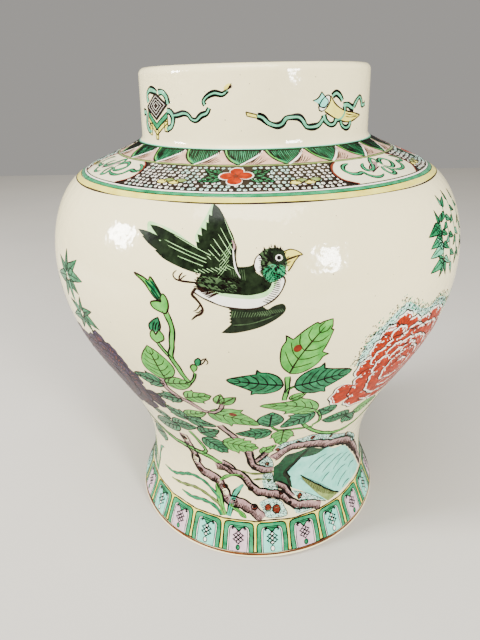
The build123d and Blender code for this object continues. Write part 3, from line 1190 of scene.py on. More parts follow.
@dataclass
class RoeBand(Border):
    """A ground of black fish-roe rings with red blossoms and leaves, broken by reserved white panels."""

    high: float = 22.2
    low: float = 49.3
    panels: tuple[float, ...] = (42.5, 122.7, 222.4, -57.3)  # azimuths of their middles
    half_panel: float = 18.4  # degrees
    ring_size: float = 1.62  # radius of one ring in mm
    heart: float = 33.5  # distance down of the blossoms' middles
    blossom_width: float = 17.0
    clear: tuple[float, float] = (9.5, 9)  # mm to the side of and over a blossom's middle that have no rings
    tinted: float = 34  # mm to the side of a blossom's middle in which most rings are turquoise
    rim_lift: float = 0.185  # heights of a blossom's coats over the glaze, in mm
    petal_lift: float = 0.21
    vein_lift: float = 0.24

    def paint(self) -> None:
        """Lay the ground, the rings, the blossoms and the panels."""
        brush = Brush(self.wall, "roe_band", 13)
        brush.ring(Enamel.GROUND, self.high, self.low, UNDER + 0.07)
        blossoms = self.blossoms()
        self.rings(brush, blossoms)
        for azimuth, down, wide in blossoms:
            self.blossom(brush, azimuth, down, wide)
        brush.finish({Enamel.GROUND: "shoulder_collar_enamel"})
        for index, azimuth in enumerate(self.panels):
            self.panel(azimuth, index)

    def blossoms(self) -> list[tuple[float, float, float]]:
        """Azimuth, distance down and width of each blossom: one in the middle of each stretch of ground.

        Returns:
            One row for each blossom.
        """
        ordered = sorted(self.panels)
        gaps = [(a + b) / 2 for a, b in zip(ordered, ordered[1:] + [ordered[0] + 360])]
        return [(gap + 2.0, self.heart, self.blossom_width) for gap in gaps]

    def free(self, azimuth: float) -> bool:
        """Whether an azimuth lies outside every panel."""
        return all(abs((azimuth - p + 180) % 360 - 180) > self.half_panel - 0.4 for p in self.panels)

    def rings(self, brush: Brush, blossoms: list[tuple[float, float, float]]) -> None:
        """Pack pale rings, each with a dark heart, in rows that the hand keeps only roughly.

        Args:
            brush: The brush to paint with.
            blossoms: Azimuth, distance down and width of each blossom.
        """
        pitch = self.ring_size * 2.42
        rows = int((self.low - self.high - 1.5) / (pitch * 0.86))
        for row in range(rows + 1):
            down = self.high + 1.9 + row * pitch * 0.86
            radius = self.wall.radius(down)
            count = int(math.tau * radius / pitch)
            for k in range(count):
                azimuth = 360 * (k + 0.5 * (row % 2)) / count + brush.chance.uniform(-0.25, 0.25)
                drop = down + brush.chance.uniform(-0.5, 0.5)
                near = [abs((azimuth - a + 180) % 360 - 180) * radius * math.pi / 180 for a, _, _ in blossoms]
                covered = min(near) < self.clear[0] and abs(drop - self.heart) < self.clear[1]
                if not self.free(azimuth) or drop > self.low - 1.0 or covered:
                    continue
                brush.place = Place(azimuth, drop)
                size = self.ring_size * brush.chance.uniform(0.76, 1.0)
                beside = min(near) < self.tinted
                cool = beside and brush.chance.random() < 0.75 or brush.chance.random() < 0.12
                brush.dot(Enamel.MIST if cool else Enamel.CREAM, (0, 0), size, TINT, 7,
                          brush.chance.uniform(0.8, 1.0))
                heart = (brush.chance.uniform(-0.35, 0.35), brush.chance.uniform(-0.35, 0.35))
                brush.dot(Enamel.GROUND, heart, size * 0.38, TOP, 5)

    def blossom(self, brush: Brush, azimuth: float, down: float, wide: float) -> None:
        """A red blossom of broad petals with white rims, and green leaves to each side.

        Args:
            brush: The brush to paint with.
            azimuth: Degrees from the front.
            down: Millimetres down the wall.
            wide: The blossom's width in mm.
        """
        brush.place = Place(azimuth, down)
        for x, turn, size in ((-1.3, 150, 15.0), (1.3, 28, 15.0), (-1.2, 205, 16.0), (1.2, -24, 16.0)):
            spot = brush.place.moved(x * wide * 0.4, 0, self.wall, turn)
            leaf = Leaf(self.wall, brush, spot, size, 9.0, rise=TINT + 0.02)
            leaf.paint(Enamel.SPRUCE, veins=4, teeth=1)
        for x, y in ((-0.62, 0.0), (0.62, 0.05), (0.0, 0.42), (-0.05, -0.42)):
            oval = [(wide * (x * 0.55 + 0.27 * math.cos(a)),
                     wide * (y * 0.75 + 0.23 * math.sin(a))) for a in turns(9)]
            brush.fill(Enamel.CREAM, [(px * 1.09, py * 1.09) for px, py in oval], self.rim_lift)
            brush.fill(Enamel.IRON_RED, oval, self.petal_lift)
        for a in turns(7):
            brush.stroke(Enamel.RUST, [(0, 0), (wide * 0.3 * math.cos(a), wide * 0.26 * math.sin(a))], 0.8,
                         self.vein_lift)
        for x in (-2.35, 2.45):
            for k in range(4):
                centre = (x * wide + (k - 1.5) * 4.2, -8.5 + 2.2 * (k % 2))
                petal = [(centre[0] + 3.6 * math.cos(a), centre[1] + 2.2 * math.sin(a)) for a in turns(8)]
                brush.fill(Enamel.OLIVE if k % 2 else Enamel.STRAW, petal, LINE)
                brush.stroke(Enamel.SEPIA, petal + petal[:1], 0.55, TOP)

    def panel(self, azimuth: float, index: int) -> None:
        """A reserved white panel with scalloped ends, a rust border and a ribboned emblem.

        Args:
            azimuth: Degrees from the front of its middle.
            index: Its number, which names it and seeds its brush.
        """
        brush = Brush(self.wall, f"reserve_panel_{index + 1}", 20 + index)
        middle = (self.high + self.low) / 2
        brush.place = Place(azimuth, middle)
        half = math.radians(self.half_panel) * self.wall.radius(middle)
        tall = (self.low - self.high) / 2 - 0.2
        right = [(half - 9, tall), (half - 4, tall * 0.72), (half - 0.6, tall * 0.1),
                 (half - 3, -tall * 0.55), (half - 11, -tall)]
        left = [(-x, y) for x, y in reversed(right)]
        brush.fill(Enamel.GLAZE_WHITE, right[:1] + right + right[-1:] + left[:1] + left + left[-1:], TINT)
        for side in (-1, 1):
            edge = [(side * (x + 0.8), y * 1.01) for x, y in right]
            brush.stroke(Enamel.RUST, edge, 2.0, LINE, Thin.NONE)
            brush.stroke(Enamel.INK, [(x + side * 1.3, y) for x, y in edge], 0.7, TOP, Thin.NONE)
        self.emblem(brush)
        brush.finish()

    def emblem(self, brush: Brush) -> None:
        """A knotted ribbon round a scroll, with long trailing ends.

        Args:
            brush: The brush to paint with.
        """
        brush.stroke(Enamel.MAUVE, [(-12, -3), (-6, 1), (-1, 5), (4, 7)], 6.0, LINE, Thin.BOTH)
        brush.stroke(Enamel.SEPIA, [(-12, -4), (-5, -1), (2, 2)], 0.6, TOP)
        brush.stroke(Enamel.SEPIA, [(-11, 0), (-6, 4), (2, 8)], 0.6, TOP)
        tails = [
            [(-22, 10), (-28, 8), (-31, 3), (-28, -2), (-23, -3), (-19, -2), (-17, -6), (-13, -9), (-8, -9),
             (-4, -7)],
            [(30, 10), (35, 8), (38, 4), (35, 1), (29, 2), (26, -3), (21, -6), (14, -6), (8, -4)],
            [(-9, 8), (-13, 5), (-14, 0), (-9, -1), (-4, 3), (0, 9), (4, 12), (7, 9), (4, 5)],
            [(6, 2), (10, 8), (16, 9), (20, 5), (17, 0), (11, -2), (6, 2)],
            [(3, 1), (1, -4), (3, -9), (7, -8), (7, -3), (4, 1)],
        ]
        for path in tails:
            brush.stroke(Enamel.INK, path, 2.6, LINE, Thin.BOTH, 0.0)
            brush.stroke(Enamel.JADE, path, 1.8, TOP, Thin.BOTH, 0.0)


@dataclass
class ShoulderLines(Border):
    """The green and yellow bands that close the shoulder, each between drawn lines."""

    start: float = 49.4

    def paint(self) -> None:
        """Lay the bands and their lines."""
        brush = Brush(self.wall, "shoulder_lines", 14)
        brush.ring(Enamel.INK, self.start, self.start + 0.7, LINE, 0.1)
        brush.ring(Enamel.CREAM, self.start + 0.7, self.start + 2.0, WASH, 0.1)
        brush.ring(Enamel.INK, self.start + 2.0, self.start + 2.4, LINE, 0.15)
        brush.ring(Enamel.JADE, self.start + 2.3, self.start + 5.1, WASH, 0.2)
        brush.ring(Enamel.INK, self.start + 5.0, self.start + 5.5, LINE, 0.2)
        brush.ring(Enamel.STRAW, self.start + 5.5, self.start + 10.2, WASH, 0.35)
        brush.ring(Enamel.SEPIA, self.start + 10.0, self.start + 10.9, LINE, 0.45)
        brush.finish()


@dataclass
class FootBorder(Border):
    """Upright panels with bracket arches and hanging knots, between yellow bars, over the iron wash."""

    panels: int = 24
    first: float = -1.0  # azimuth of one bar, in degrees
    middle: float = 386.0
    high: float = 11.5  # the panels' top over the middle, in mm
    low: float = -15.8
    cream_lift: float = 0.135  # heights of a panel's coats over the glaze, in mm, from the lowest up
    field_lift: float = 0.165
    bracket_lift: float = 0.19
    field_line: float = 0.215
    bracket_line: float = 0.23
    curl_line: float = 0.24

    def paint(self) -> None:
        """Lay the border."""
        brush = Brush(self.wall, "foot_border", 15)
        brush.ring(Enamel.STRAW, self.middle - self.high - 1.6, self.middle - self.low, UNDER + 0.08, 0.2)
        half = math.pi * self.wall.radius(self.middle) / self.panels
        for i in range(self.panels):
            brush.place = Place(self.first + 360 * (i + 0.5) / self.panels, self.middle)
            self.panel(brush, half - 1.7, i % 2 == 0)
        self.top_line(brush, half)
        brush.finish({Enamel.STRAW: "foot_border_enamel"})
        edge = Brush(self.wall, "foot_edge", 16)
        edge.ring(Enamel.INK, self.middle - self.low - 0.6, self.middle - self.low + 0.6, TINT, 0.2)
        edge.ring(Enamel.WASH_BROWN, self.middle - self.low + 0.8, self.middle - self.low + 2.8, WASH, 0.3)
        edge.finish({Enamel.WASH_BROWN: "foot_iron_wash"})

    def top_line(self, brush: Brush, half: float) -> None:
        """The scalloped dark line over the panels.

        Args:
            brush: The brush to paint with.
            half: Half the pitch of the panels, in mm.
        """
        for i in range(self.panels):
            brush.place = Place(self.first + 360 * (i + 0.5) / self.panels, self.middle)
            rise = brush.chance.uniform(1.2, 2.6)
            path = [(-half, self.high + 1.6), (-half * 0.45, self.high + rise),
                    (half * 0.3, self.high + rise + 0.3), (half, self.high + 1.6)]
            brush.stroke(Enamel.SEPIA, path, 0.9, LINE, Thin.NONE)

    def panel(self, brush: Brush, half: float, cool: bool) -> None:
        """One panel: green frame, cream and black inner lines, coloured field, knot and drop.

        Args:
            brush: The brush to paint with.
            half: Half the panel's width in mm.
            cool: Whether its field is turquoise and not mauve.
        """
        high, low = self.high, self.low
        frame_edge = arch(half, high, low, 3.0)
        brush.fill(Enamel.JADE, frame_edge, TINT, grid=2.6)
        brush.stroke(Enamel.INK, frame_edge[1:-1], 0.8, TOP, Thin.NONE)
        inner = arch(half - 4.0, high - 3.6, low, 2.6)
        brush.fill(Enamel.CREAM, inner, self.cream_lift, grid=2.6)
        brush.stroke(Enamel.INK, inner[1:-1], 0.6, TOP, Thin.NONE)
        field_edge = arch(half - 5.4, high - 5.0, low, 1.8)
        brush.fill(Enamel.SEA if cool else Enamel.MAUVE_PALE, field_edge, self.field_lift, grid=2.6)
        brush.stroke(Enamel.INK, field_edge[1:-1], 0.55, self.field_line, Thin.NONE)
        bracket = [(-6, high - 1.5), (-6, high - 1.5), (-5.6, high - 6.0), (-3.6, high - 5.2),
                   (-1.6, high - 6.8), (0, high - 8.6), (1.6, high - 6.8), (3.6, high - 5.2),
                   (5.6, high - 6.0), (6, high - 1.5), (6, high - 1.5)]
        brush.fill(Enamel.JADE, bracket, self.bracket_lift, grid=2.6)
        brush.stroke(Enamel.INK, bracket[2:-2], 0.7, self.bracket_line, Thin.NONE)
        for side in (-1, 1):
            curl = [(side * x, y) for x, y in ((4.4, 7.6), (6.2, 6.6), (6.0, 4.6), (4.4, 4.8))]
            brush.stroke(Enamel.INK, curl, 1.1, self.curl_line, Thin.BOTH)
        self.knot(brush, cool)

    def knot(self, brush: Brush, cool: bool) -> None:
        """A lattice of diamonds in turn white and green, with a drop hung below it.

        Args:
            brush: The brush to paint with.
            cool: Whether the panel's field is turquoise.
        """
        size = 2.15
        for row in range(5):
            for column in ((0,) if row % 2 == 0 else (-1, 1)):
                x, y = column * size, 1.2 - row * size * 0.92
                diamond = [(x - size, y), (x, y - size * 0.92), (x + size, y), (x, y + size * 0.92)]
                if cool and row % 2 == 0:
                    brush.fill(Enamel.CREAM, diamond, self.bracket_lift, smooth=False)
                for a, b in zip(diamond, diamond[1:] + diamond[:1]):
                    brush.stroke(Enamel.INK, [a, b], 0.9, self.bracket_line, Thin.NONE, 0.05, smooth=False)
        for side in (-1, 1):
            brush.stroke(Enamel.INK, [(0, 3.2), (side * 2.6, 5.2)], 0.9, self.bracket_line, Thin.LAST,
                         smooth=False)
            for y in (-0.8, -4.8):
                brush.dot(Enamel.INK, (side * 4.6, y), 0.9, self.bracket_line)
        brush.stroke(Enamel.INK, [(0, -8.0), (0, -9.8)], 0.7, self.bracket_line, Thin.NONE, smooth=False)
        drop = [(1.75 * math.sin(a), -12.2 + 2.5 * math.cos(a)) for a in turns(10)]
        brush.fill(Enamel.CREAM if cool else Enamel.SPRUCE, drop, self.bracket_lift)
        brush.stroke(Enamel.INK, drop + drop[:1], 0.6, self.bracket_line, Thin.NONE)


def arch(half: float, high: float, low: float, corner: float) -> Path:
    """A panel's outline, open at the foot, with rounded shoulders and corners given twice at the foot.

    Args:
        half: Half its width in mm.
        high: The height of its top.
        low: The height of its foot.
        corner: The radius of its shoulders.

    Returns:
        The outline.
    """
    left = [(-half, low), (-half, low), (-half - 0.3, (low + high) / 2), (-half + 0.2, high - corner),
            (-half + corner, high - 0.2), (-half * 0.4, high + 0.3)]
    return left + [(-x, y) for x, y in reversed(left)]


def turns(count: int) -> list[float]:
    """Evenly spaced angles of a full turn, in radians."""
    return [math.tau * i / count for i in range(count)]


# ---- plants ----------------------------------------------------------------------------------
@dataclass
class Leaf:
    """One leaf in its own millimetres: the stalk's end at the origin and the tip along x."""

    wall: Wall
    brush: Brush
    place: Place
    length: float
    width: float
    bend: float = 0.0  # how far the midrib bows, as a share of the length
    rise: float = WASH  # mm from the glaze to its wash

    def rib(self, share: float) -> Point:
        """A point of the midrib."""
        return self.length * share, self.bend * self.length * 4 * share * (1 - share)

    def edge(self, share: float, side: int, out: float = 1.0) -> Point:
        """A point of the edge at a share of the length, on the upper (1) or lower (-1) side.

        Args:
            share: How far along the leaf, from 0 to 1.
            side: 1 or -1.
            out: How far out, as a share of the leaf's half width.

        Returns:
            The point.
        """
        x, y = self.rib(share)
        fat = math.sin(math.pi * share**0.8) ** 0.72 if share < 1 else 0.0
        return x, y + side * fat * self.width / 2 * out

    def outline(self, teeth: int) -> Path:
        """The outline from the stalk round the tip and back, with sharp teeth towards the tip.

        Args:
            teeth: Teeth on each side.

        Returns:
            The closed outline.
        """
        sides: list[Path] = []
        for side in (1, -1):
            run = [self.edge(s, side) for s in (0.06, 0.18, 0.34)]
            marks = [0.5 + 0.36 * k / max(teeth - 1, 1) for k in range(teeth)]
            for share in marks:
                tip = self.edge(share + 0.045, side, 1.22)
                notch = self.edge(share + 0.04, side, 0.82)
                run += [self.edge(share - 0.03, side), tip, tip, notch, notch]
            if not teeth:
                run += [self.edge(s, side) for s in (0.52, 0.7, 0.86)]
            else:
                run.append(self.edge(0.94, side))
            sides.append(run)
        tip, base = self.rib(1.03), self.rib(0.0)
        return [base, base] + sides[0] + [tip, tip] + list(reversed(sides[1]))

    def paint(self, green: Enamel, veins: int = 5, teeth: int = 2, spot: bool = False) -> None:
        """Lay the wash, then the outline, the midrib and the veins.

        Args:
            green: The leaf's enamel.
            veins: Side veins on each side.
            teeth: Teeth on each side.
            spot: Whether the leaf has a rust-red blemish.
        """
        brush, kept = self.brush, self.brush.place
        brush.place = self.place
        edge = self.outline(teeth)
        brush.fill(green, edge, self.rise)
        line, rib = self.rise + 0.035, self.rise + 0.045
        dark = green in (Enamel.SPRUCE, Enamel.JADE)
        ink = Enamel.INK if dark else Enamel.SEPIA
        weight = 0.75 if dark else 0.6
        brush.stroke(ink, edge[1:] + edge[:1], weight, line, Thin.NONE, 0.2)
        brush.stroke(ink, [self.rib(s) for s in (0.0, 0.3, 0.6, 0.9)], weight * 1.35, rib, Thin.LAST)
        for k in range(veins):
            share = 0.12 + 0.66 * k / max(veins - 1, 1)
            for side in (1, -1):
                far = min(share + 0.2, 0.95)
                near, middle = self.rib(share), self.edge(share + 0.07, side, 0.42)
                brush.stroke(ink, [near, middle, self.edge(far, side, 0.78)], weight * 0.85, line, Thin.LAST)
        if spot:
            x, y = self.rib(0.44)
            blot = [(x + 3.0 * math.cos(a), y + self.width * 0.17 + 2.6 * math.sin(a)) for a in turns(8)]
            brush.fill(Enamel.RUST, blot, rib)
        brush.place = kept


@dataclass(frozen=True)
class LeafMark:
    """Where one leaf of a spray goes, on the drawing: from its base to its tip."""

    base: Point
    tip: Point
    width: float
    green: Enamel
    veins: int = 5
    teeth: int = 2
    bend: float = 0.0
    spot: bool = False


@dataclass
class Scene:
    """One side of the painted body, drawn in millimetres round a point on the belly."""

    wall: Wall
    place: Place
    label: str

    def brush(self, name: str, seed: int) -> Brush:
        """A brush set to this side's place."""
        return Brush(self.wall, f"{self.label}_{name}", seed, place=self.place)


class Magnolia(Scene):
    """The flowering shrub: green stems, leaves in two greens, and buds."""

    LEAVES: tuple[LeafMark, ...] = (
        LeafMark((22, -23), (46, 16), 29, Enamel.LEAF, 5, 2, 0.06, True),
        LeafMark((19, -35), (-19, -29), 23, Enamel.SPRUCE, 5, 1),
        LeafMark((27, -37), (67, -29), 28, Enamel.SPRUCE, 6, 1),
        LeafMark((25, -53), (37, -46), 8, Enamel.LEAF, 2, 0),
        LeafMark((53, -75), (5, -58), 22, Enamel.LEAF, 5, 1, -0.1),
        LeafMark((12, -95), (13, -71), 23, Enamel.SPRUCE, 4, 0),
        LeafMark((52, -79), (25, -99), 23, Enamel.SPRUCE, 5, 1),
        LeafMark((72, -84), (56, -74), 16, Enamel.SPRUCE, 3, 0),
        LeafMark((-43, -76), (1, -93), 27, Enamel.LEAF, 5, 1, 0.08, True),
        LeafMark((15, -103), (-20, -109), 18, Enamel.SPRUCE, 5, 1, 0.05),
        LeafMark((27, -102), (27, -127), 24, Enamel.LEAF, 4, 2),
        LeafMark((5, -140), (19, -124), 12, Enamel.LEAF, 3, 1),
        LeafMark((-39, -124), (1, -134), 24, Enamel.LEAF, 5, 3),
        LeafMark((-63, -117), (-41, -102), 18, Enamel.SPRUCE, 4, 1),
        LeafMark((-62, -124), (-38, -146), 23, Enamel.SPRUCE, 5, 2),
        LeafMark((-71, -95), (-41, -99), 17, Enamel.SPRUCE, 4, 1),
        LeafMark((-69, -88), (-46, -76), 13, Enamel.LEAF, 4, 0),
        LeafMark((-70, -97), (-88, -77), 17, Enamel.SPRUCE, 4, 1),
        LeafMark((-97, -113), (-65, -107), 17, Enamel.SPRUCE, 5, 0, 0.05),
        LeafMark((-90, -117), (-132, -129), 19, Enamel.SPRUCE, 5, 0),
        LeafMark((-97, -108), (-120, -96), 12, Enamel.SPRUCE, 3, 0),
        LeafMark((-68, -38), (-74, -8), 26, Enamel.LEAF, 5, 0),
        LeafMark((-72, -45), (-99, -42), 16, Enamel.SPRUCE, 4, 1),
        LeafMark((-70, -43), (-47, -37), 14, Enamel.LEAF, 4, 0),
        LeafMark((-58, -58), (-35, -49), 16, Enamel.LEAF, 4, 2),
        LeafMark((-31, -60), (-27, -46), 8, Enamel.LEAF, 2, 0),
        LeafMark((-28, -60), (-16, -48), 9, Enamel.LEAF, 2, 0),
        LeafMark((-62, -61), (-89, -67), 14, Enamel.SPRUCE, 4, 1),
        LeafMark((100, -101), (66, -95), 16, Enamel.SPRUCE, 5, 0),
        LeafMark((96, -103), (117, -123), 15, Enamel.SPRUCE, 4, 1),
        LeafMark((106, -99), (142, -101), 22, Enamel.LEAF, 5, 0),
        LeafMark((-139, -149), (-172, -166), 22, Enamel.SPRUCE, 5, 1),
        LeafMark((-172, -132), (-206, -122), 20, Enamel.SPRUCE, 5, 1),
        LeafMark((-182, -140), (-214, -152), 19, Enamel.LEAF, 5, 1),
        LeafMark((-236, -60), (-262, -44), 20, Enamel.SPRUCE, 5, 1),
        LeafMark((-232, -72), (-258, -86), 19, Enamel.LEAF, 5, 1),
        LeafMark((-222, -108), (-246, -122), 17, Enamel.SPRUCE, 4, 1),
        LeafMark((226, -52), (250, -38), 20, Enamel.SPRUCE, 5, 1),
        LeafMark((222, -66), (248, -78), 18, Enamel.LEAF, 4, 1),
        LeafMark((204, -100), (232, -108), 18, Enamel.SPRUCE, 5, 1),
        LeafMark((176, -104), (160, -122), 16, Enamel.LEAF, 4, 1),
    )
    GREEN_STEMS: tuple[tuple[Path, float], ...] = (
        ([(21, -26), (22, -40), (21, -54)], 3.4),
        ([(27, -37), (23, -40), (22, -45)], 1.6),
        ([(53, -76), (60, -87), (62, -96), (56, -101)], 2.6),
        ([(45, -96), (55, -107), (70, -118), (90, -127), (112, -131), (140, -128)], 3.6),
        ([(14, -94), (20, -101), (40, -103), (58, -104)], 2.2),
        ([(-57, 22), (-53, 11), (-55, -4), (-57, -13), (-53, -25), (-48, -38)], 3.4),
        ([(-65, -3), (-61, -9), (-57, -15)], 2.2),
        ([(-42, -25), (-44, -32), (-49, -38)], 1.8),
        ([(-78, -119), (-70, -134), (-66, -147), (-80, -153)], 4.0),
        ([(-150, -138), (-122, -146), (-92, -149), (-66, -153), (-46, -161)], 5.2),
        ([(-150, -138), (-180, -128), (-214, -96), (-236, -62)], 4.6),
        ([(140, -128), (172, -112), (204, -92), (226, -54)], 4.2),
    )
    BROWN_STEMS: tuple[tuple[Path, float], ...] = (
        ([(-72, -38), (-71, -50), (-63, -60), (-55, -65), (-47, -74)], 4.6),
        ([(-27, -60), (-30, -68), (-38, -75), (-48, -74)], 3.4),
        ([(-36, -96), (-29, -107), (-22, -116)], 6.5),
    )

    def paint(self) -> None:
        """Paint stems, then leaves from the back to the front, then the buds."""
        stems = self.brush("stems", 31)
        for path, width in self.GREEN_STEMS:
            draw_stem(stems, path, width, Enamel.LEAF)
        for path, width in self.BROWN_STEMS:
            draw_stem(stems, path, width, Enamel.MAUVE)
        self.buds(stems)
        stems.finish()
        leaves = self.brush("leaves", 32)
        laid: list[tuple[Point, float, int]] = []
        for mark in reversed(self.LEAVES):
            middle = ((mark.base[0] + mark.tip[0]) / 2, (mark.base[1] + mark.tip[1]) / 2)
            reach = math.dist(mark.base, mark.tip) / 2
            taken = {level for spot, far, level in laid if math.dist(spot, middle) < (far + reach) * 0.8}
            level = next(k for k in range(len(self.LEAVES)) if k not in taken)
            laid.append((middle, reach, level))
            length = math.dist(mark.base, mark.tip)
            turn = math.degrees(math.atan2(mark.tip[1] - mark.base[1], mark.tip[0] - mark.base[0]))
            place = sheet_place(self.place, self.wall, mark.base, turn)
            squeeze = self.wall.radius(place.down) / self.wall.radius(self.place.down)
            flat = abs(math.cos(math.radians(turn)))
            leaf = Leaf(self.wall, leaves, place, length * (1 - flat * (1 - squeeze)),
                        mark.width * (1 - (1 - flat) * (1 - squeeze)), mark.bend, 0.05 + 0.04 * min(level, 4))
            leaf.paint(mark.green, mark.veins, mark.teeth, mark.spot)
        leaves.finish()

    @staticmethod
    def buds(brush: Brush) -> None:
        """The tall bud, the small one under it and the one on the side shoot.

        Args:
            brush: The brush to paint with.
        """
        cup = [(-59, 27), (-59, 27), (-62, 27.5), (-66.5, 26), (-65, 22.5), (-60, 20.5), (-56, 20), (-54, 25),
               (-55, 30), (-57.5, 32.5), (-59.5, 30), (-59, 27)]
        brush.fill(Enamel.LEAF, cup, WASH)
        brush.stroke(Enamel.SEPIA, cup, 0.7, LINE, Thin.NONE)
        petals = [(-59, 28), (-63, 29), (-67, 33), (-71, 38), (-78.5, 43), (-72, 41.5), (-67.5, 39.5),
                  (-66.5, 42), (-62, 37), (-58.5, 32)]
        brush.fill(Enamel.LEAF, petals[:1] + petals + petals[-1:], WASH)
        brush.stroke(Enamel.SEPIA, petals, 0.7, LINE, Thin.NONE)
        for path in ([(-60, 29), (-64, 34), (-70, 39.5)], [(-59, 31), (-62, 35.5), (-66.5, 40)],
                     [(-61, 28.5), (-66, 34)]):
            brush.stroke(Enamel.SPRUCE, path, 2.4, LINE, Thin.LAST)
            brush.stroke(Enamel.INK, path, 0.6, TOP, Thin.LAST)
        for side, x in ((-1, -67), (1, -62.5)):
            lobe = [(-65.5, -3.5), (-65.5, -3.5), (x + side * 2.5, 0), (x + side * 2.6, 4), (x, 7), (x, 7),
                    (-65.5, 3)]
            brush.fill(Enamel.LEAF, lobe, WASH)
            brush.stroke(Enamel.SEPIA, lobe[1:], 0.65, LINE, Thin.NONE)
        flame = [(-69, 6), (-69, 6), (-69.5, 10), (-66, 14), (-62, 16.5), (-62, 16.5), (-61, 11), (-62, 7),
                 (-65.5, 5)]
        brush.fill(Enamel.SPRUCE, flame, WASH)
        brush.stroke(Enamel.INK, flame[1:-1], 0.65, LINE, Thin.NONE)
        for x in (-67, -65, -63):
            brush.stroke(Enamel.INK, [(x, 7), (x + 0.6, 10), (x + 2.2, 13)], 0.6, TOP, Thin.LAST)
        side_bud = [(-43, -25), (-43, -25), (-44.5, -20), (-42, -17), (-39.5, -19), (-41, -23)]
        brush.fill(Enamel.LEAF, side_bud, WASH)
        brush.stroke(Enamel.SEPIA, side_bud[1:], 0.6, LINE, Thin.NONE)
        tip = [(-40, -18), (-40, -18), (-40.5, -14), (-37.5, -11), (-36, -14), (-38, -18)]
        brush.fill(Enamel.SPRUCE, tip, WASH)
        brush.stroke(Enamel.INK, tip[1:], 0.6, LINE, Thin.NONE)
        for path in ([(-37, -17), (-34, -14), (-32, -10)],
                     [(-36, -13), (-33, -11), (-31.5, -14), (-33, -16)]):
            brush.stroke(Enamel.SEPIA, path, 0.7, LINE, Thin.LAST)


def sheet_place(place: Place, wall: Wall, point: Point, turn: float) -> Place:
    """The place of a small drawing whose origin is a point of a larger one, turned by so many degrees."""
    azimuth, down = place.on_wall(wall, point)
    return Place(math.degrees(azimuth), down, turn, place.size, place.mirrored)


def draw_stem(brush: Brush, path: Path, width: float, enamel: Enamel) -> None:
    """A stem: a wash with a dark line down each side.

    Args:
        brush: The brush to paint with.
        path: Its middle line.
        width: Its width in mm.
        enamel: The wash.
    """
    brush.stroke(enamel, path, width, WASH, Thin.NONE)
    fine = through(path)
    for side in (-1, 1):
        line = []
        for i, (x, y) in enumerate(fine):
            a, b = fine[max(i - 1, 0)], fine[min(i + 1, len(fine) - 1)]
            span = math.dist(a, b) or 1.0
            off = side * width * (0.5 + 0.05 * math.sin(i * 0.5 + side))
            line.append((x - (b[1] - a[1]) / span * off, y + (b[0] - a[0]) / span * off))
        brush.stroke(Enamel.INK, line[::4] + line[-1:], 0.75 if width < 5 else 1.45, LINE, Thin.BOTH)


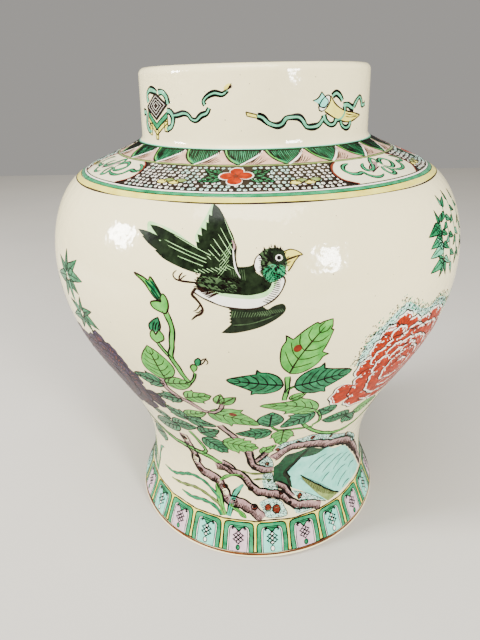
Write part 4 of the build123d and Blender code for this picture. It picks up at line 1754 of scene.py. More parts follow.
class Bamboo(Scene):
    """Sprays of bamboo leaves, each a lance drawn from the twig to its tip."""

    TWIGS: tuple[tuple[Point, Point], ...] = (
        ((146, 27), (148, 62)), ((159, 27), (160, 72)), ((174, 32), (176, 74)), ((192, 36), (194, 72)),
    )
    RIGHT: tuple[tuple[Point, Point], ...] = (
        ((147, 59), (128, 54)), ((147, 51), (129, 46)), ((149, 45), (128, 40)), ((147, 35), (128, 30)),
        ((147, 60), (144, 70)), ((147, 52), (138, 60)), ((148, 43), (138, 52)), ((147, 34), (138, 40)),
        ((147, 33), (140, 24)), ((148, 34), (151, 23)), ((148, 36), (158, 30)), ((148, 46), (158, 40)),
        ((148, 54), (158, 50)), ((148, 61), (156, 66)), ((160, 70), (157, 79)), ((160, 69), (169, 76)),
        ((160, 66), (150, 60)), ((160, 58), (151, 54)), ((160, 48), (151, 45)), ((160, 62), (170, 58)),
        ((160, 50), (170, 46)), ((159, 38), (169, 33)), ((159, 30), (163, 20)), ((175, 72), (173, 80)),
        ((175, 66), (185, 62)), ((175, 60), (166, 56)), ((175, 50), (184, 44)), ((175, 46), (166, 40)),
        ((175, 36), (182, 28)), ((175, 34), (168, 26)), ((193, 70), (191, 78)), ((193, 66), (202, 62)),
        ((193, 56), (184, 52)), ((193, 50), (202, 44)), ((193, 40), (200, 32)), ((193, 38), (186, 32)),
    )
    LEFT: tuple[tuple[Point, Point], ...] = (
        ((-155, 26), (-131, 26)), ((-155, 26), (-138, 40)), ((-157, 27), (-172, 36)),
        ((-157, 24), (-180, 20)), ((-154, 22), (-150, 6)), ((-157, 22), (-164, 6)),
        ((-152, 22), (-139, 14)), ((-156, 28), (-156, 44)), ((-140, 0), (-125, 5)),
        ((-140, -2), (-121, -9)), ((-141, -3), (-132, -16)), ((-143, -3), (-162, -9)),
        ((-143, 0), (-158, 6)), ((-143, -4), (-150, -17)), ((-141, 1), (-139, 13)),
    )

    def paint(self) -> None:
        """Paint the twigs, then the leaves."""
        brush = self.brush("bamboo", 33)
        for low, high in self.TWIGS:
            brush.stroke(Enamel.JADE_PALE, [low, high], 1.8, WASH, Thin.NONE)
            brush.stroke(Enamel.INK, [low, high], 0.45, LINE, Thin.NONE)
        brush.stroke(Enamel.JADE_PALE, [(-156, 28), (-150, 12), (-143, -4)], 1.6, WASH, Thin.NONE)
        for index, (root, tip) in enumerate(self.RIGHT + self.LEFT):
            self.lance(brush, root, tip, index)
        brush.finish()

    @staticmethod
    def lance(brush: Brush, root: Point, tip: Point, index: int) -> None:
        """One lance-shaped leaf: broad near the twig, with dark edges and a midrib.

        Args:
            brush: The brush.
            root: Where it leaves the twig.
            tip: Its tip.
            index: Its number, which settles its green and how high it lies.
        """
        dx, dy = tip[0] - root[0], tip[1] - root[1]
        fat = 0.22
        upper = [(root[0] + dx * s - dy * f, root[1] + dy * s + dx * f) for s,
                 f in ((0.22, fat), (0.6, fat * 0.6))]
        lower = [(root[0] + dx * s + dy * f, root[1] + dy * s - dx * f) for s,
                 f in ((0.6, fat * 0.5), (0.22, fat * 0.8))]
        rise = WASH + 0.012 * (index % 4)
        green = Enamel.JADE if index % 2 else Enamel.JADE_PALE
        if root[0] < 0 or index % 4 == 0:
            green = Enamel.SPRUCE
        brush.fill(green, [root, root] + upper + [tip, tip] + lower, rise)
        brush.stroke(Enamel.INK, [root] + upper + [tip], 0.55, rise + 0.04, Thin.LAST)
        brush.stroke(Enamel.INK, [root] + lower[::-1] + [tip], 0.55, rise + 0.04, Thin.LAST)
        brush.stroke(Enamel.INK, [root, (root[0] + dx * 0.8, root[1] + dy * 0.8)], 0.45, rise + 0.045,
                     Thin.LAST)


@dataclass(frozen=True)
class Petal:
    """One petal of a peony, in the peony's millimetres."""

    x: float  # of its middle, from the heart
    y: float
    turn: float  # the way it points, in degrees
    half: float  # half its width
    deep: float


@dataclass(frozen=True)
class Bloom:
    """One peony of a scene."""

    centre: Point
    scale: float
    body: Enamel
    rim: Enamel
    name: str
    flipped: bool = False

    def at(self, x: float, y: float) -> Point:
        """A point of the drawing from a point measured from the heart."""
        side = -1 if self.flipped else 1
        return self.centre[0] + side * x * self.scale, self.centre[1] + y * self.scale


class Peonies(Scene):
    """Full peonies of many overlapping petals, each dark at its root with a pale rim and a fine outline."""

    GROUND_LIFT: float = 0.035  # mm over the glaze of the colour under all petals
    FIRST_LIFT: float = 0.055  # of the outermost petal
    PETAL_STEP: float = 0.0028  # from one petal to the next
    # From the outermost petals in to the heart; every petal lies over those before it.
    PETALS: tuple[Petal, ...] = (
        Petal(-15, 46, 92, 9, 12), Petal(-27, 39, 112, 9, 12), Petal(-3, 40, 78, 9, 11),
        Petal(14, 36, 75, 10, 11), Petal(28, 37, 66, 10, 12), Petal(41, 32, 45, 10, 12),
        Petal(-33, 29, 138, 10, 14), Petal(-41, 13, 152, 11, 14), Petal(-38, -2, 172, 11, 15),
        Petal(-52, -17, 188, 15, 19), Petal(-26, -36, 252, 18, 17), Petal(-36, -18, 200, 13, 16),
        Petal(47, 14, 15, 14, 16), Petal(50, -8, 352, 14, 16), Petal(42, -26, 328, 14, 16),
        Petal(26, -38, 300, 14, 15), Petal(8, -42, 276, 14, 14), Petal(-10, -36, 262, 14, 12),
        Petal(-17, 37, 97, 8, 10), Petal(1, 34, 86, 9, 9), Petal(-19, 29, 104, 9, 9),
        Petal(-30, 20, 134, 9, 12), Petal(-5, 31, 88, 9, 8), Petal(9, 30, 76, 10, 8),
        Petal(22, 28, 62, 10, 9), Petal(34, 24, 44, 10, 10), Petal(38, 6, 12, 12, 12),
        Petal(38, -10, 345, 12, 12), Petal(28, -24, 318, 12, 12), Petal(13, -31, 288, 13, 11),
        Petal(-4, -30, 258, 14, 11), Petal(-24, -3, 178, 10, 13), Petal(-26, 10, 152, 9, 12),
        Petal(-20, -18, 214, 14, 13), Petal(-17, 23, 112, 8, 8), Petal(-3, 24, 90, 9, 8),
        Petal(11, 22, 70, 10, 8), Petal(23, 15, 44, 10, 9), Petal(28, -2, 8, 11, 10),
        Petal(20, -16, 318, 12, 10), Petal(3, -22, 272, 13, 10), Petal(-10, 17, 112, 9, 8),
        Petal(3, 18, 84, 9, 8), Petal(15, 9, 46, 10, 8), Petal(-8, 10, 116, 8, 8), Petal(5, 12, 80, 9, 8),
        Petal(-11, -1, 176, 13, 14), Petal(13, -3, 340, 11, 9), Petal(2, -12, 272, 11, 9),
        Petal(1, -1, 92, 10, 15),
    )
    BLOOMS: tuple[Bloom, ...] = (
        Bloom((120, -42), 1.0, Enamel.IRON_RED, Enamel.CREAM, "peony_red"),
        Bloom((-142, -60), 0.92, Enamel.AUBERGINE, Enamel.PLUM, "peony_aubergine", True),
        Bloom((222, -30), 0.6, Enamel.IRON_RED, Enamel.CREAM, "peony_red_side", True),
        Bloom((-224, -20), 0.62, Enamel.IRON_RED, Enamel.CREAM, "peony_red_back"),
    )
    HALO: Path = [(-49, 16), (-47, 28), (-41, 40), (-33, 47), (-25, 53), (-15, 58), (-6, 54), (2, 49),
                  (14, 46), (27, 49), (42, 44), (54, 34)]

    def paint(self) -> None:
        """Paint each bloom and the cool shading above the red ones."""
        for index, bloom in enumerate(self.BLOOMS):
            brush = self.brush(bloom.name, 40 + index)
            if bloom.body is Enamel.IRON_RED:
                self.halo(brush, bloom)
            ground = [bloom.at(p.x * 0.86, p.y * 0.86) for p in self.outer()]
            brush.fill(bloom.body, ground, self.GROUND_LIFT)
            for level, petal in enumerate(self.PETALS):
                draw_petal(brush, bloom, petal, self.FIRST_LIFT + self.PETAL_STEP * level)
            brush.finish()

    def outer(self) -> list[Petal]:
        """The outermost petals, in order round the heart."""
        return sorted(self.PETALS[:18], key=lambda petal: math.atan2(petal.y, petal.x))

    def halo(self, brush: Brush, bloom: Bloom) -> None:
        """A pale turquoise wash and black ticks above the bloom.

        Args:
            brush: The brush to paint with.
            bloom: The flower under it.
        """
        near = [bloom.at(x * 0.88, y * 0.88) for x, y in self.HALO]
        far = [bloom.at(x, y) for x, y in self.HALO]
        brush.fill(Enamel.MIST, near[:1] + near + near[-1:] + far[-1:] + far[::-1] + far[:1], HAZE)
        path = through(self.HALO, step=1.0)
        for x, y in path:
            for _ in range(5):
                reach = brush.chance.triangular(0.88, 1.12, 0.96)
                cx, cy = bloom.at(x * reach + brush.chance.uniform(-0.7, 0.7), y * reach)
                enamel = Enamel.INK if brush.chance.random() < 0.6 else Enamel.SEA_GREEN
                brush.stroke(enamel, [(cx - 0.45, cy - 0.4), (cx + 0.45, cy + 0.4)], 0.5, TINT, Thin.NONE,
                             0.0)


def draw_petal(brush: Brush, bloom: Bloom, petal: Petal, rise: float) -> None:
    """One petal with a lobed pale rim round its outer side.

    Args:
        brush: The brush.
        bloom: The flower it belongs to.
        petal: The petal.
        rise: The height of its rim over the glaze, in mm.
    """
    turn = math.radians(petal.turn)
    c, s = math.cos(turn), math.sin(turn)
    sway = brush.chance.uniform(-0.12, 0.12)

    def at(out: float, side: float) -> Point:
        """A point of the petal: outwards and sideways, in mm."""
        return bloom.at(petal.x + out * c - side * s, petal.y + out * s + side * c)

    lobes = ((-0.62, -0.6), (-0.05, -0.98), (0.28, -0.78), (0.36, -0.42), (0.52, -0.06), (0.38, 0.34),
             (0.3, 0.76), (-0.05, 1.0), (-0.62, 0.6))
    border = 2.1
    rim, body = [], []
    for out, side in lobes:
        side += sway * (1 - abs(side))
        rim.append(at(out * petal.deep, side * petal.half))
        inner = out * petal.deep - border * max(0.0, min(1.0, out * 1.6 + 0.75))
        body.append(at(inner, side * (petal.half - border * 0.55)))
    brush.fill(bloom.rim, rim[:1] + rim + rim[-1:], rise, grid=3.5)
    brush.fill(bloom.body, body[:1] + body + body[-1:], rise + 0.012, grid=3.5)
    for side in (-0.4, 0.0, 0.4):
        root, tip = at(-0.35 * petal.deep, side * petal.half * 0.6), at(0.06 * petal.deep, side * petal.half)
        brush.stroke(Enamel.RUST, [root, tip], 1.0, rise + 0.018, Thin.LAST)
    brush.stroke(Enamel.SEPIA, rim[1:-1], 0.75, rise + 0.026, Thin.BOTH)


# ---- rocks and ground ------------------------------------------------------------------------
class Rockery(Scene):
    """The pierced rock with its moss, the dark hollow, the water seen through it and the old branches."""

    RIM: tuple[tuple[Path, float], ...] = (
        ([(20, -149), (30, -141), (40, -134), (56, -134), (76, -138), (96, -146), (120, -152), (146, -163),
          (168, -178), (192, -196), (212, -219)], 10.0),
        ([(-10, -137), (-8, -147), (-5, -157), (6, -163), (21, -165)], 8.0),
        ([(12, -139), (5, -147), (-2, -152)], 5.5),
        ([(-56, -165), (-46, -164), (-34, -168), (-20, -172), (-10, -182), (0, -190), (15, -193), (34, -197),
          (48, -206), (58, -211), (76, -214), (94, -220)], 8.4),
        ([(26, -183), (38, -188), (50, -202)], 7.0),
        ([(-92, -129), (-91, -143), (-86, -158), (-86, -169), (-76, -177), (-58, -181), (-48, -191),
          (-40, -203), (-28, -204), (-14, -208), (-3, -213), (8, -220)], 11.0),
        ([(-46, -158), (-38, -160), (-30, -168)], 7.0),
    )
    HOLLOW: Path = [(22, -161), (22, -161), (29, -156), (37, -146), (50, -144), (68, -140), (68, -140),
                    (80, -147), (96, -152), (96, -152), (80, -156), (57, -154), (57, -154), (50, -161),
                    (40, -170), (40, -170), (46, -178), (50, -191), (50, -191), (38, -184), (28, -181),
                    (22, -181), (22, -181)]
    WATER: Path = [(40, -170), (40, -170), (50, -161), (57, -154), (57, -154), (80, -156), (96, -152),
                   (112, -159), (130, -163), (146, -171), (166, -186), (186, -202), (200, -219),
                   (200, -219), (140, -219), (108, -220), (108, -220), (86, -208), (66, -198), (50, -191),
                   (50, -191), (46, -178)]
    STONE: Path = [(61, -178), (61, -178), (75, -187), (95, -199), (113, -210), (131, -219), (131, -219),
                   (108, -220), (108, -220), (94, -210), (80, -198), (68, -187)]
    MOSS: tuple[Path, ...] = (
        [(21, -136), (27, -127), (37, -124), (50, -122), (62, -120), (76, -124), (96, -132), (120, -142),
         (143, -151), (170, -168), (165, -173), (145, -158), (120, -148), (96, -141), (76, -133),
         (56, -129), (40, -129), (30, -136)],
        [(12, -144), (19, -151), (21, -160), (9, -160), (3, -155), (6, -149)],
        [(8, -170), (20, -169), (23, -180), (31, -187), (26, -190), (10, -188)],
        [(3, -204), (12, -200), (24, -200), (34, -204), (38, -210), (41, -219), (14, -219), (8, -211)],
        [(50, -194), (66, -199), (86, -208), (104, -219), (86, -212), (62, -207)],
        [(55, -213), (74, -217), (86, -220), (57, -220)],
    )
    SPOTS: tuple[tuple[Point, float], ...] = (
        ((24.5, -135), 2.6), ((47, -127), 2.2), ((65, -125), 3.0), ((94, -134), 2.4), ((13, -156), 2.6),
        ((16, -178), 2.2), ((61, -202), 3.4), ((15, -209), 4.4), ((27, -211), 5.6), ((130, -147), 2.8),
    )
    KNOTS: tuple[tuple[Point, float], ...] = (
        ((-4, -162), 2.4), ((-9, -188), 2.8), ((-45, -188), 3.0), ((-82, -176), 3.2), ((-93, -136), 2.8),
        ((-83, -159), 2.2), ((-32, -203), 3.0), ((-4, -208), 3.6), ((34, -194), 2.6), ((46, -207), 2.2),
    )
    RIPPLES: tuple[Path, ...] = (
        [(73, -172), (80, -167), (90, -163), (100, -162)], [(82, -181), (92, -174), (105, -169), (118, -168)],
        [(98, -185), (110, -179), (125, -175), (139, -176)],
        [(120, -189), (132, -183), (145, -181), (156, -182)],
        [(98, -196), (105, -191), (113, -189)], [(118, -201), (128, -196), (140, -194), (152, -195)],
        [(130, -212), (141, -206), (156, -204)], [(148, -190), (158, -189), (170, -191)],
        [(140, -217), (150, -215), (162, -216)], [(160, -203), (170, -201), (182, -204)],
    )

    def paint(self) -> None:
        """Paint the water first, then the hollow, the moss, the stone and the woody rims."""
        rock = self.brush("rock", 50)
        rock.fill(Enamel.SEA, self.WATER, WASH)
        for path in self.RIPPLES:
            rock.stroke(Enamel.INK, path, 0.78, LINE, Thin.BOTH)
        rock.fill(Enamel.DEEP, self.HOLLOW, TINT)
        rock.stroke(Enamel.BOTTLE, [(66, -143), (56, -153), (48, -161), (38, -170), (43, -179), (48, -190)],
                    4.2, LINE, Thin.BOTH)
        rock.stroke(Enamel.INK, self.HOLLOW[11:17], 1.3, TOP, Thin.NONE)
        rock.fill(Enamel.OLIVE, self.STONE, TINT)
        self.hatch_stone(rock)
        rock.stroke(Enamel.INK, self.STONE[1:6], 1.0, TOP, Thin.NONE)
        rock.finish()
        moss = self.brush("moss", 51)
        for outline in self.MOSS:
            moss.fill(Enamel.MIST, outline, WASH)
            moss.stroke(Enamel.INK, outline, 0.45, LINE, Thin.BOTH)
            self.stipple(moss, outline)
        for centre, size in self.SPOTS:
            blot = [(centre[0] + size * math.cos(a), centre[1] + size * 0.85 * math.sin(a)) for a in turns(8)]
            moss.fill(Enamel.RUST, blot, LINE)
            moss.stroke(Enamel.INK, blot + blot[:1], 0.6, TOP, Thin.NONE)
        moss.finish()
        wood = self.brush("branches", 52)
        for path, width in self.RIM:
            self.branch(wood, path, width)
        for centre, size in self.KNOTS:
            ring = [(centre[0] + size * 1.2 * math.cos(a),
                     centre[1] + size * 0.8 * math.sin(a)) for a in turns(8)]
            wood.fill(Enamel.RUST, ring, TINT)
            wood.stroke(Enamel.INK, ring + ring[:1], 0.9, LINE, Thin.NONE)
            wood.dot(Enamel.INK, centre, size * 0.55, TOP)
        wood.finish()

    def hatch_stone(self, brush: Brush) -> None:
        """Close slanting strokes that model the olive stone.

        Args:
            brush: The brush to paint with.
        """
        for k in range(46):
            share = k / 46
            x, y = 64 + 62 * share, -181 - 37 * share
            size = 1.5 + 4.5 * math.sin(math.pi * min(share * 1.1, 1.0))
            brush.stroke(Enamel.SEPIA, [(x - 2.2, y - size), (x + 1.6, y + size * 0.4)], 0.4, LINE, Thin.NONE)

    @staticmethod
    def stipple(brush: Brush, outline: Path) -> None:
        """Short dark ticks over a moss patch.

        Args:
            brush: The brush to paint with.
            outline: The patch's outline.
        """
        for x, y in inside_points(through(outline, closed=True), 1.7):
            if brush.chance.random() < 0.72:
                dx, dy = brush.chance.uniform(-0.5, 0.5), brush.chance.uniform(-0.5, 0.5)
                enamel = Enamel.INK if brush.chance.random() < 0.7 else Enamel.SEA_GREEN
                brush.stroke(enamel, [(x + dx - 0.6, y + dy - 0.35), (x + dx + 0.6, y + dy + 0.35)], 0.62,
                             LINE, Thin.NONE, 0.0)

    @staticmethod
    def branch(brush: Brush, path: Path, width: float) -> None:
        """An old branch: a mauve wash, wavering dark sides and fine hatching across the shaded one.

        Args:
            brush: The brush to paint with.
            path: Its middle line.
            width: Its width in mm.
        """
        draw_stem(brush, path, width, Enamel.MAUVE)
        fine = through(path, step=1.5)
        for i in range(2, len(fine) - 2):
            a, b = fine[i - 1], fine[i + 1]
            span = math.dist(a, b)
            nx, ny = -(b[1] - a[1]) / span, (b[0] - a[0]) / span
            low = -0.47 * width
            high = low + width * brush.chance.uniform(0.3, 0.72)
            x, y = fine[i]
            lean = brush.chance.uniform(0.2, 0.9)
            start = (x + nx * low, y + ny * low)
            end = (x + nx * high + lean * ny * 0.8, y + ny * high - lean * nx * 0.8)
            brush.stroke(Enamel.SEPIA, [start, end], 0.5, LINE, Thin.LAST)


class Grass(Scene):
    """Long blades of grass at the foot of the rock."""

    BLADES: tuple[tuple[Path, float, Enamel], ...] = (
        ([(-54, -204), (-65, -196), (-80, -189), (-100, -188), (-120, -194), (-140, -200), (-166, -202)],
         2.6, Enamel.JADE),
        ([(-46, -219), (-55, -210), (-75, -203), (-95, -201), (-120, -205), (-145, -208)], 2.4, Enamel.OLIVE),
        ([(-50, -220), (-62, -213), (-80, -211), (-100, -213), (-120, -212)], 2.8, Enamel.JADE),
        ([(-46, -220), (-50, -212), (-55, -200), (-57, -187)], 5.2, Enamel.LEAF),
        ([(-40, -220), (-36, -206), (-30, -194), (-19, -183)], 4.6, Enamel.SEA_GREEN),
        ([(-52, -182), (-40, -175), (-26, -172), (-18, -175)], 2.8, Enamel.LEAF),
        ([(-38, -208), (-27, -213), (-15, -220)], 3.8, Enamel.LEAF),
        ([(22, -167), (8, -169), (-8, -169), (-20, -166)], 1.6, Enamel.OLIVE),
        ([(20, -178), (8, -176), (-6, -177)], 1.5, Enamel.OLIVE),
        ([(-196, -220), (-204, -204), (-218, -192), (-238, -188)], 3.6, Enamel.LEAF),
        ([(-192, -220), (-188, -200), (-178, -186), (-164, -180)], 3.2, Enamel.JADE),
        ([(-200, -220), (-214, -212), (-232, -208)], 2.6, Enamel.SEA_GREEN),
    )

    def paint(self) -> None:
        """Paint each blade with its dark edges and midrib."""
        brush = self.brush("grass", 34)
        for path, width, enamel in self.BLADES:
            brush.stroke(Enamel.INK, path, (width + 1.4) / LINE_WEIGHT, WASH, Thin.LAST, 0.0)
            brush.stroke(enamel, path, width - 0.2, LINE, Thin.LAST, 0.0)
            brush.stroke(Enamel.BOTTLE, path[: max(3, len(path) - 1)], 0.5, TOP, Thin.BOTH)
        brush.finish()


class FarRocks(Scene):
    """The banks that close the scene on the jar's flanks."""

    BANKS: tuple[tuple[Path, Enamel], ...] = (
        ([(-262, -219), (-262, -219), (-258, -196), (-244, -186), (-226, -190), (-212, -204), (-206, -219),
          (-206, -219)],
         Enamel.SPRUCE),
        ([(218, -219), (218, -219), (222, -196), (236, -180), (252, -176), (268, -178), (268, -178),
          (268, -219), (268, -219)],
         Enamel.SPRUCE),
        ([(232, -219), (232, -219), (238, -200), (252, -192), (267, -192), (267, -192), (267, -219),
          (267, -219)],
         Enamel.SEA),
    )

    def paint(self) -> None:
        """Paint each bank with its outline and moss ticks."""
        brush = self.brush("banks", 35)
        for level, (outline, enamel) in enumerate(self.BANKS):
            brush.fill(enamel, outline, WASH + 0.03 * level)
            brush.stroke(Enamel.INK, outline[1:-1], 1.2, LINE, Thin.NONE)
            Rockery.stipple(brush, outline)
        brush.finish()


# ---- the bird --------------------------------------------------------------------------------
class Bird(Scene):
    """A bird in flight: black tail and wing over green, a dark mantle, a green head and a white belly."""

    WING: tuple[tuple[Point, Point, float], ...] = (
        ((-22, 49), (-36.5, 60.5), 5.4), ((-20, 50), (-37, 65.5), 5.8), ((-19, 52), (-36.5, 70), 6.0),
        ((-18, 54), (-34.5, 74), 6.4), ((-16, 56), (-31.5, 77.5), 6.8), ((-15, 58), (-30.5, 82.5), 7.2),
        ((-14, 60), (-28.5, 90), 8.4),
    )
    TAIL: tuple[tuple[Point, Point, float], ...] = (
        ((-26, 47), (-64.5, 58.5), 6.4), ((-28, 50), (-75.5, 66), 6.8), ((-28, 52), (-80, 70), 6.8),
        ((-26, 54), (-71, 73.5), 7.6),
    )
    FIRST_FEATHER: float = 0.075  # mm over the glaze of the first feather
    FEATHER_STEP: float = 0.006  # from one feather to the next
    SKULL: float = 0.165  # heights of the head's coats over the glaze, in mm, from the lowest up
    CHEEK: float = 0.18
    CROWN: float = 0.19
    NAPE: float = 0.2
    EYE: float = 0.22
    STIPPLE: float = 0.225
    BEAK_LINE: float = 0.23
    PUPIL: float = 0.245

    def paint(self) -> None:
        """Paint the bird from its washes to its fine drawing."""
        brush = self.brush("bird", 36)
        self.washes(brush)
        for level, (root, tip, width) in enumerate(self.TAIL + self.WING):
            self.feather(brush, root, tip, width, self.FIRST_FEATHER + self.FEATHER_STEP * level)
        self.cover(brush)
        self.head(brush)
        self.feet(brush)
        self.low_wing(brush)
        brush.finish()

    @staticmethod
    def washes(brush: Brush) -> None:
        """The green glow round the dark feathers, and the white belly.

        Args:
            brush: The brush to paint with.
        """
        glow = [(-73, 75), (-62, 73.8), (-50, 70), (-37, 63), (-38, 68), (-35, 75), (-32, 82), (-29, 90.6),
                (-25, 82), (-20, 68), (-20, 52), (-38, 52), (-55, 59), (-68, 64)]
        brush.fill(Enamel.MINT, glow, HAZE)
        belly = [(-37, 35.5), (-37, 35.5), (-30, 31.5), (-20, 28), (-10, 26.4), (0, 26.8), (8, 29.8),
                 (13, 34), (16.5, 39.5), (17.5, 44), (14, 47), (6, 42), (-4, 38), (-20, 38), (-32, 38.5)]
        brush.fill(Enamel.CREAM, belly, WASH)
        shade = [(-30, 38), (-30, 38), (-24, 35), (-12, 33), (0, 32.6), (6, 34), (10, 37.5), (13, 43),
                 (13, 43), (10, 47), (0, 42), (-14, 39)]
        brush.fill(Enamel.MINT, shade, TINT)
        brush.stroke(Enamel.SEPIA, belly[1:11], 0.65, LINE, Thin.NONE)

    @staticmethod
    def feather(brush: Brush, root: Point, tip: Point, width: float, rise: float) -> None:
        """One dark feather with a pale quill that fades out half way.

        Args:
            brush: The brush.
            root: Its root.
            tip: Its tip.
            width: Its width in mm.
            rise: How high it lies over the glaze, in mm.
        """
        dx, dy = tip[0] - root[0], tip[1] - root[1]
        span = math.hypot(dx, dy)
        nx, ny = -dy / span * width / 2, dx / span * width / 2
        up = [(root[0] + dx * s + nx * f, root[1] + dy * s + ny * f) for s,
              f in ((0.1, 0.6), (0.4, 1.0), (0.78, 0.8))]
        low = [(root[0] + dx * s - nx * f, root[1] + dy * s - ny * f) for s,
               f in ((0.82, 0.7), (0.4, 1.0), (0.1, 0.6))]
        brush.fill(Enamel.BOTTLE, [root, root] + up + [tip, tip] + low, rise)
        quill = [(root[0] + dx * s - nx * 0.8, root[1] + dy * s - ny * 0.8) for s in (0.05, 0.3, 0.6)]
        brush.stroke(Enamel.MINT, quill, 0.34, rise + 0.03, Thin.LAST, 0.0)

    @staticmethod
    def cover(brush: Brush) -> None:
        """The mantle, the hatched rump and the wing's leading edge.

        Args:
            brush: The brush to paint with.
        """
        mantle = [(-11, 51.5), (-11, 51.5), (-6, 51.6), (-2, 52.4), (-0.6, 54), (-0.6, 54), (0, 49), (4, 46),
                  (8, 44.5), (9.5, 41), (6, 37), (-3, 34.8), (-12, 35.2), (-22, 36.2), (-33, 38.5),
                  (-36, 41), (-33, 46), (-26, 51), (-20, 53), (-15, 52)]
        brush.fill(Enamel.BOTTLE, mantle, LINE)
        shoulder = [(-33, 49), (-28, 54), (-21, 62), (-16, 68), (-13.4, 67), (-12.6, 58), (-11.6, 50),
                    (-20, 47)]
        brush.fill(Enamel.BOTTLE, shoulder, LINE + 0.01)
        rump = [(-33, 45), (-22, 44.5), (-13, 42), (-11, 37), (-20, 37.4), (-33, 39.5)]
        brush.fill(Enamel.MOSS, rump, LINE + 0.015)
        for _ in range(150):
            x = brush.chance.uniform(-37, -9)
            y = brush.chance.uniform(36.4, 47) + (x + 20) * -0.05
            brush.stroke(Enamel.INK, [(x, y), (x + 1.9, y - 0.9)], 0.5, TOP, Thin.LAST, 0.0)
        for k in range(9):
            x = -37 + 2.6 * k
            brush.stroke(Enamel.MINT, [(x, 48.9 + 0.4 * k), (x + 4.4, 46.8 + 0.4 * k)], 0.26, TOP, Thin.LAST,
                         0.0)
        for k in range(6):
            x, y = -14.0 - 0.4 * k, 66 - 2.6 * k
            brush.stroke(Enamel.MINT, [(x, y), (x - 3.5, y - 5.0), (x - 7, y - 9)], 0.2, TOP, Thin.BOTH, 0.0)
        for k in range(7):
            x = -14.6 + 1.3 * k
            brush.stroke(Enamel.MOSS, [(x, 50), (x + 0.8, 46 - 0.4 * k)], 0.4, TOP, Thin.NONE, 0.0)
        edge = [(-28.4, 89.6), (-22, 81), (-17, 73), (-13.5, 66), (-13, 59), (-12, 51), (-8.5, 43.5)]
        brush.stroke(Enamel.BOTTLE, edge, 2.4, LINE, Thin.FIRST, 0.0)
        brush.stroke(Enamel.CREAM, [(-13.4, 62), (-12.8, 56), (-11.5, 50), (-8.8, 45)], 1.0, TOP, Thin.BOTH,
                     0.0)
        brush.stroke(Enamel.MAUVE, [(-14.2, 67), (-12.8, 64.6), (-12.8, 61)], 1.8, TOP, Thin.BOTH, 0.0)
        brush.stroke(Enamel.INK, [(-13.6, 66.5), (-11.6, 63), (-11.8, 56), (-10.6, 50.4), (-7.6, 44)], 0.6,
                     TOP, Thin.BOTH)
        for k in range(9):
            x = -37.5 + 1.1 * k
            brush.stroke(Enamel.SEPIA, [(x + 7, 38.5 - 0.35 * k), (x, 38.8 - 0.8 * k)], 0.6, LINE, Thin.LAST)

    @staticmethod
    def head(brush: Brush) -> None:
        """The green head with its stippled crown, white nape, ringed eye and curved beak.

        Args:
            brush: The brush to paint with.
        """
        skull = [(1, 55), (2.5, 59), (6.5, 61.6), (12, 62.2), (16.4, 61), (19, 58), (19, 53), (18, 49.5),
                 (17.2, 46), (12, 43), (8, 42), (4, 46.5), (1.5, 51)]
        brush.fill(Enamel.MOSS, skull, Bird.SKULL)
        cheek = [(5, 50), (9, 52.6), (14, 52.6), (17.6, 50.4), (17, 46), (12, 43.4), (8, 42.6), (5, 46.4)]
        brush.fill(Enamel.JADE, cheek, Bird.CHEEK)
        crown = [(6.5, 58.5), (9.5, 61.8), (14.5, 62), (18.6, 59), (18.4, 54.6), (15, 52.4), (11, 52.6),
                 (8, 55)]
        brush.fill(Enamel.BOTTLE, crown, Bird.CROWN)
        nape = [(0.4, 49), (-0.6, 52), (0.2, 56), (2.4, 58.2), (3.8, 56.6), (3.0, 53.5), (3.8, 50),
                (2.4, 48.2)]
        brush.fill(Enamel.CREAM, nape, Bird.NAPE)
        brush.stroke(Enamel.SEPIA, nape[:5], 0.45, Bird.EYE, Thin.NONE)
        upper = [(17.4, 60), (17.4, 60), (21, 61), (25, 60), (28.6, 57.6), (28.6, 57.6), (24, 56.8),
                 (19, 55.4), (19, 55.4)]
        lower = [(19, 55), (19, 55), (23, 56.2), (27.6, 57.6), (27.6, 57.6), (24, 54.6), (21.4, 51),
                 (19.4, 48.4), (19.4, 48.4)]
        for jaw in (upper, lower):
            brush.fill(Enamel.STRAW, jaw, Bird.NAPE)
            brush.stroke(Enamel.SEPIA, jaw[1:], 0.55, Bird.BEAK_LINE, Thin.NONE)
        eye = (14.2, 56.4)
        white = [(eye[0] + 2.2 * math.cos(a), eye[1] + 1.9 * math.sin(a)) for a in turns(12)]
        brush.fill(Enamel.CREAM, white, Bird.EYE)
        brush.dot(Enamel.INK, eye, 1.75, Bird.PUPIL, 10)
        for _ in range(300):
            turn = brush.chance.uniform(0.0, math.tau)
            reach = brush.chance.uniform(0.2, 1.08)
            x, y = 10.5 + 8.6 * reach * math.cos(turn), 52.5 + 9.4 * reach * math.sin(turn)
            clear = math.dist((x, y), eye) > 3.6
            if clear and (y > 51 or x < 7 or brush.chance.random() < 0.8) and x > 3:
                lean = math.atan2(y - 53, x - 12)
                tip = (x + 1.8 * math.cos(lean), y + 1.8 * math.sin(lean))
                brush.stroke(Enamel.INK, [(x, y), tip], 0.42, Bird.STIPPLE, Thin.LAST, 0.0)
        for k in range(15):
            y = 30.5 + 1.18 * k
            x = 6.6 + 6.5 * math.sin(math.pi * min(k, 10) / 17)
            brush.stroke(Enamel.INK, [(x - 2.2, y + 0.5), (x + 1.9, y - 0.7)], 0.4, TOP, Thin.LAST, 0.0)

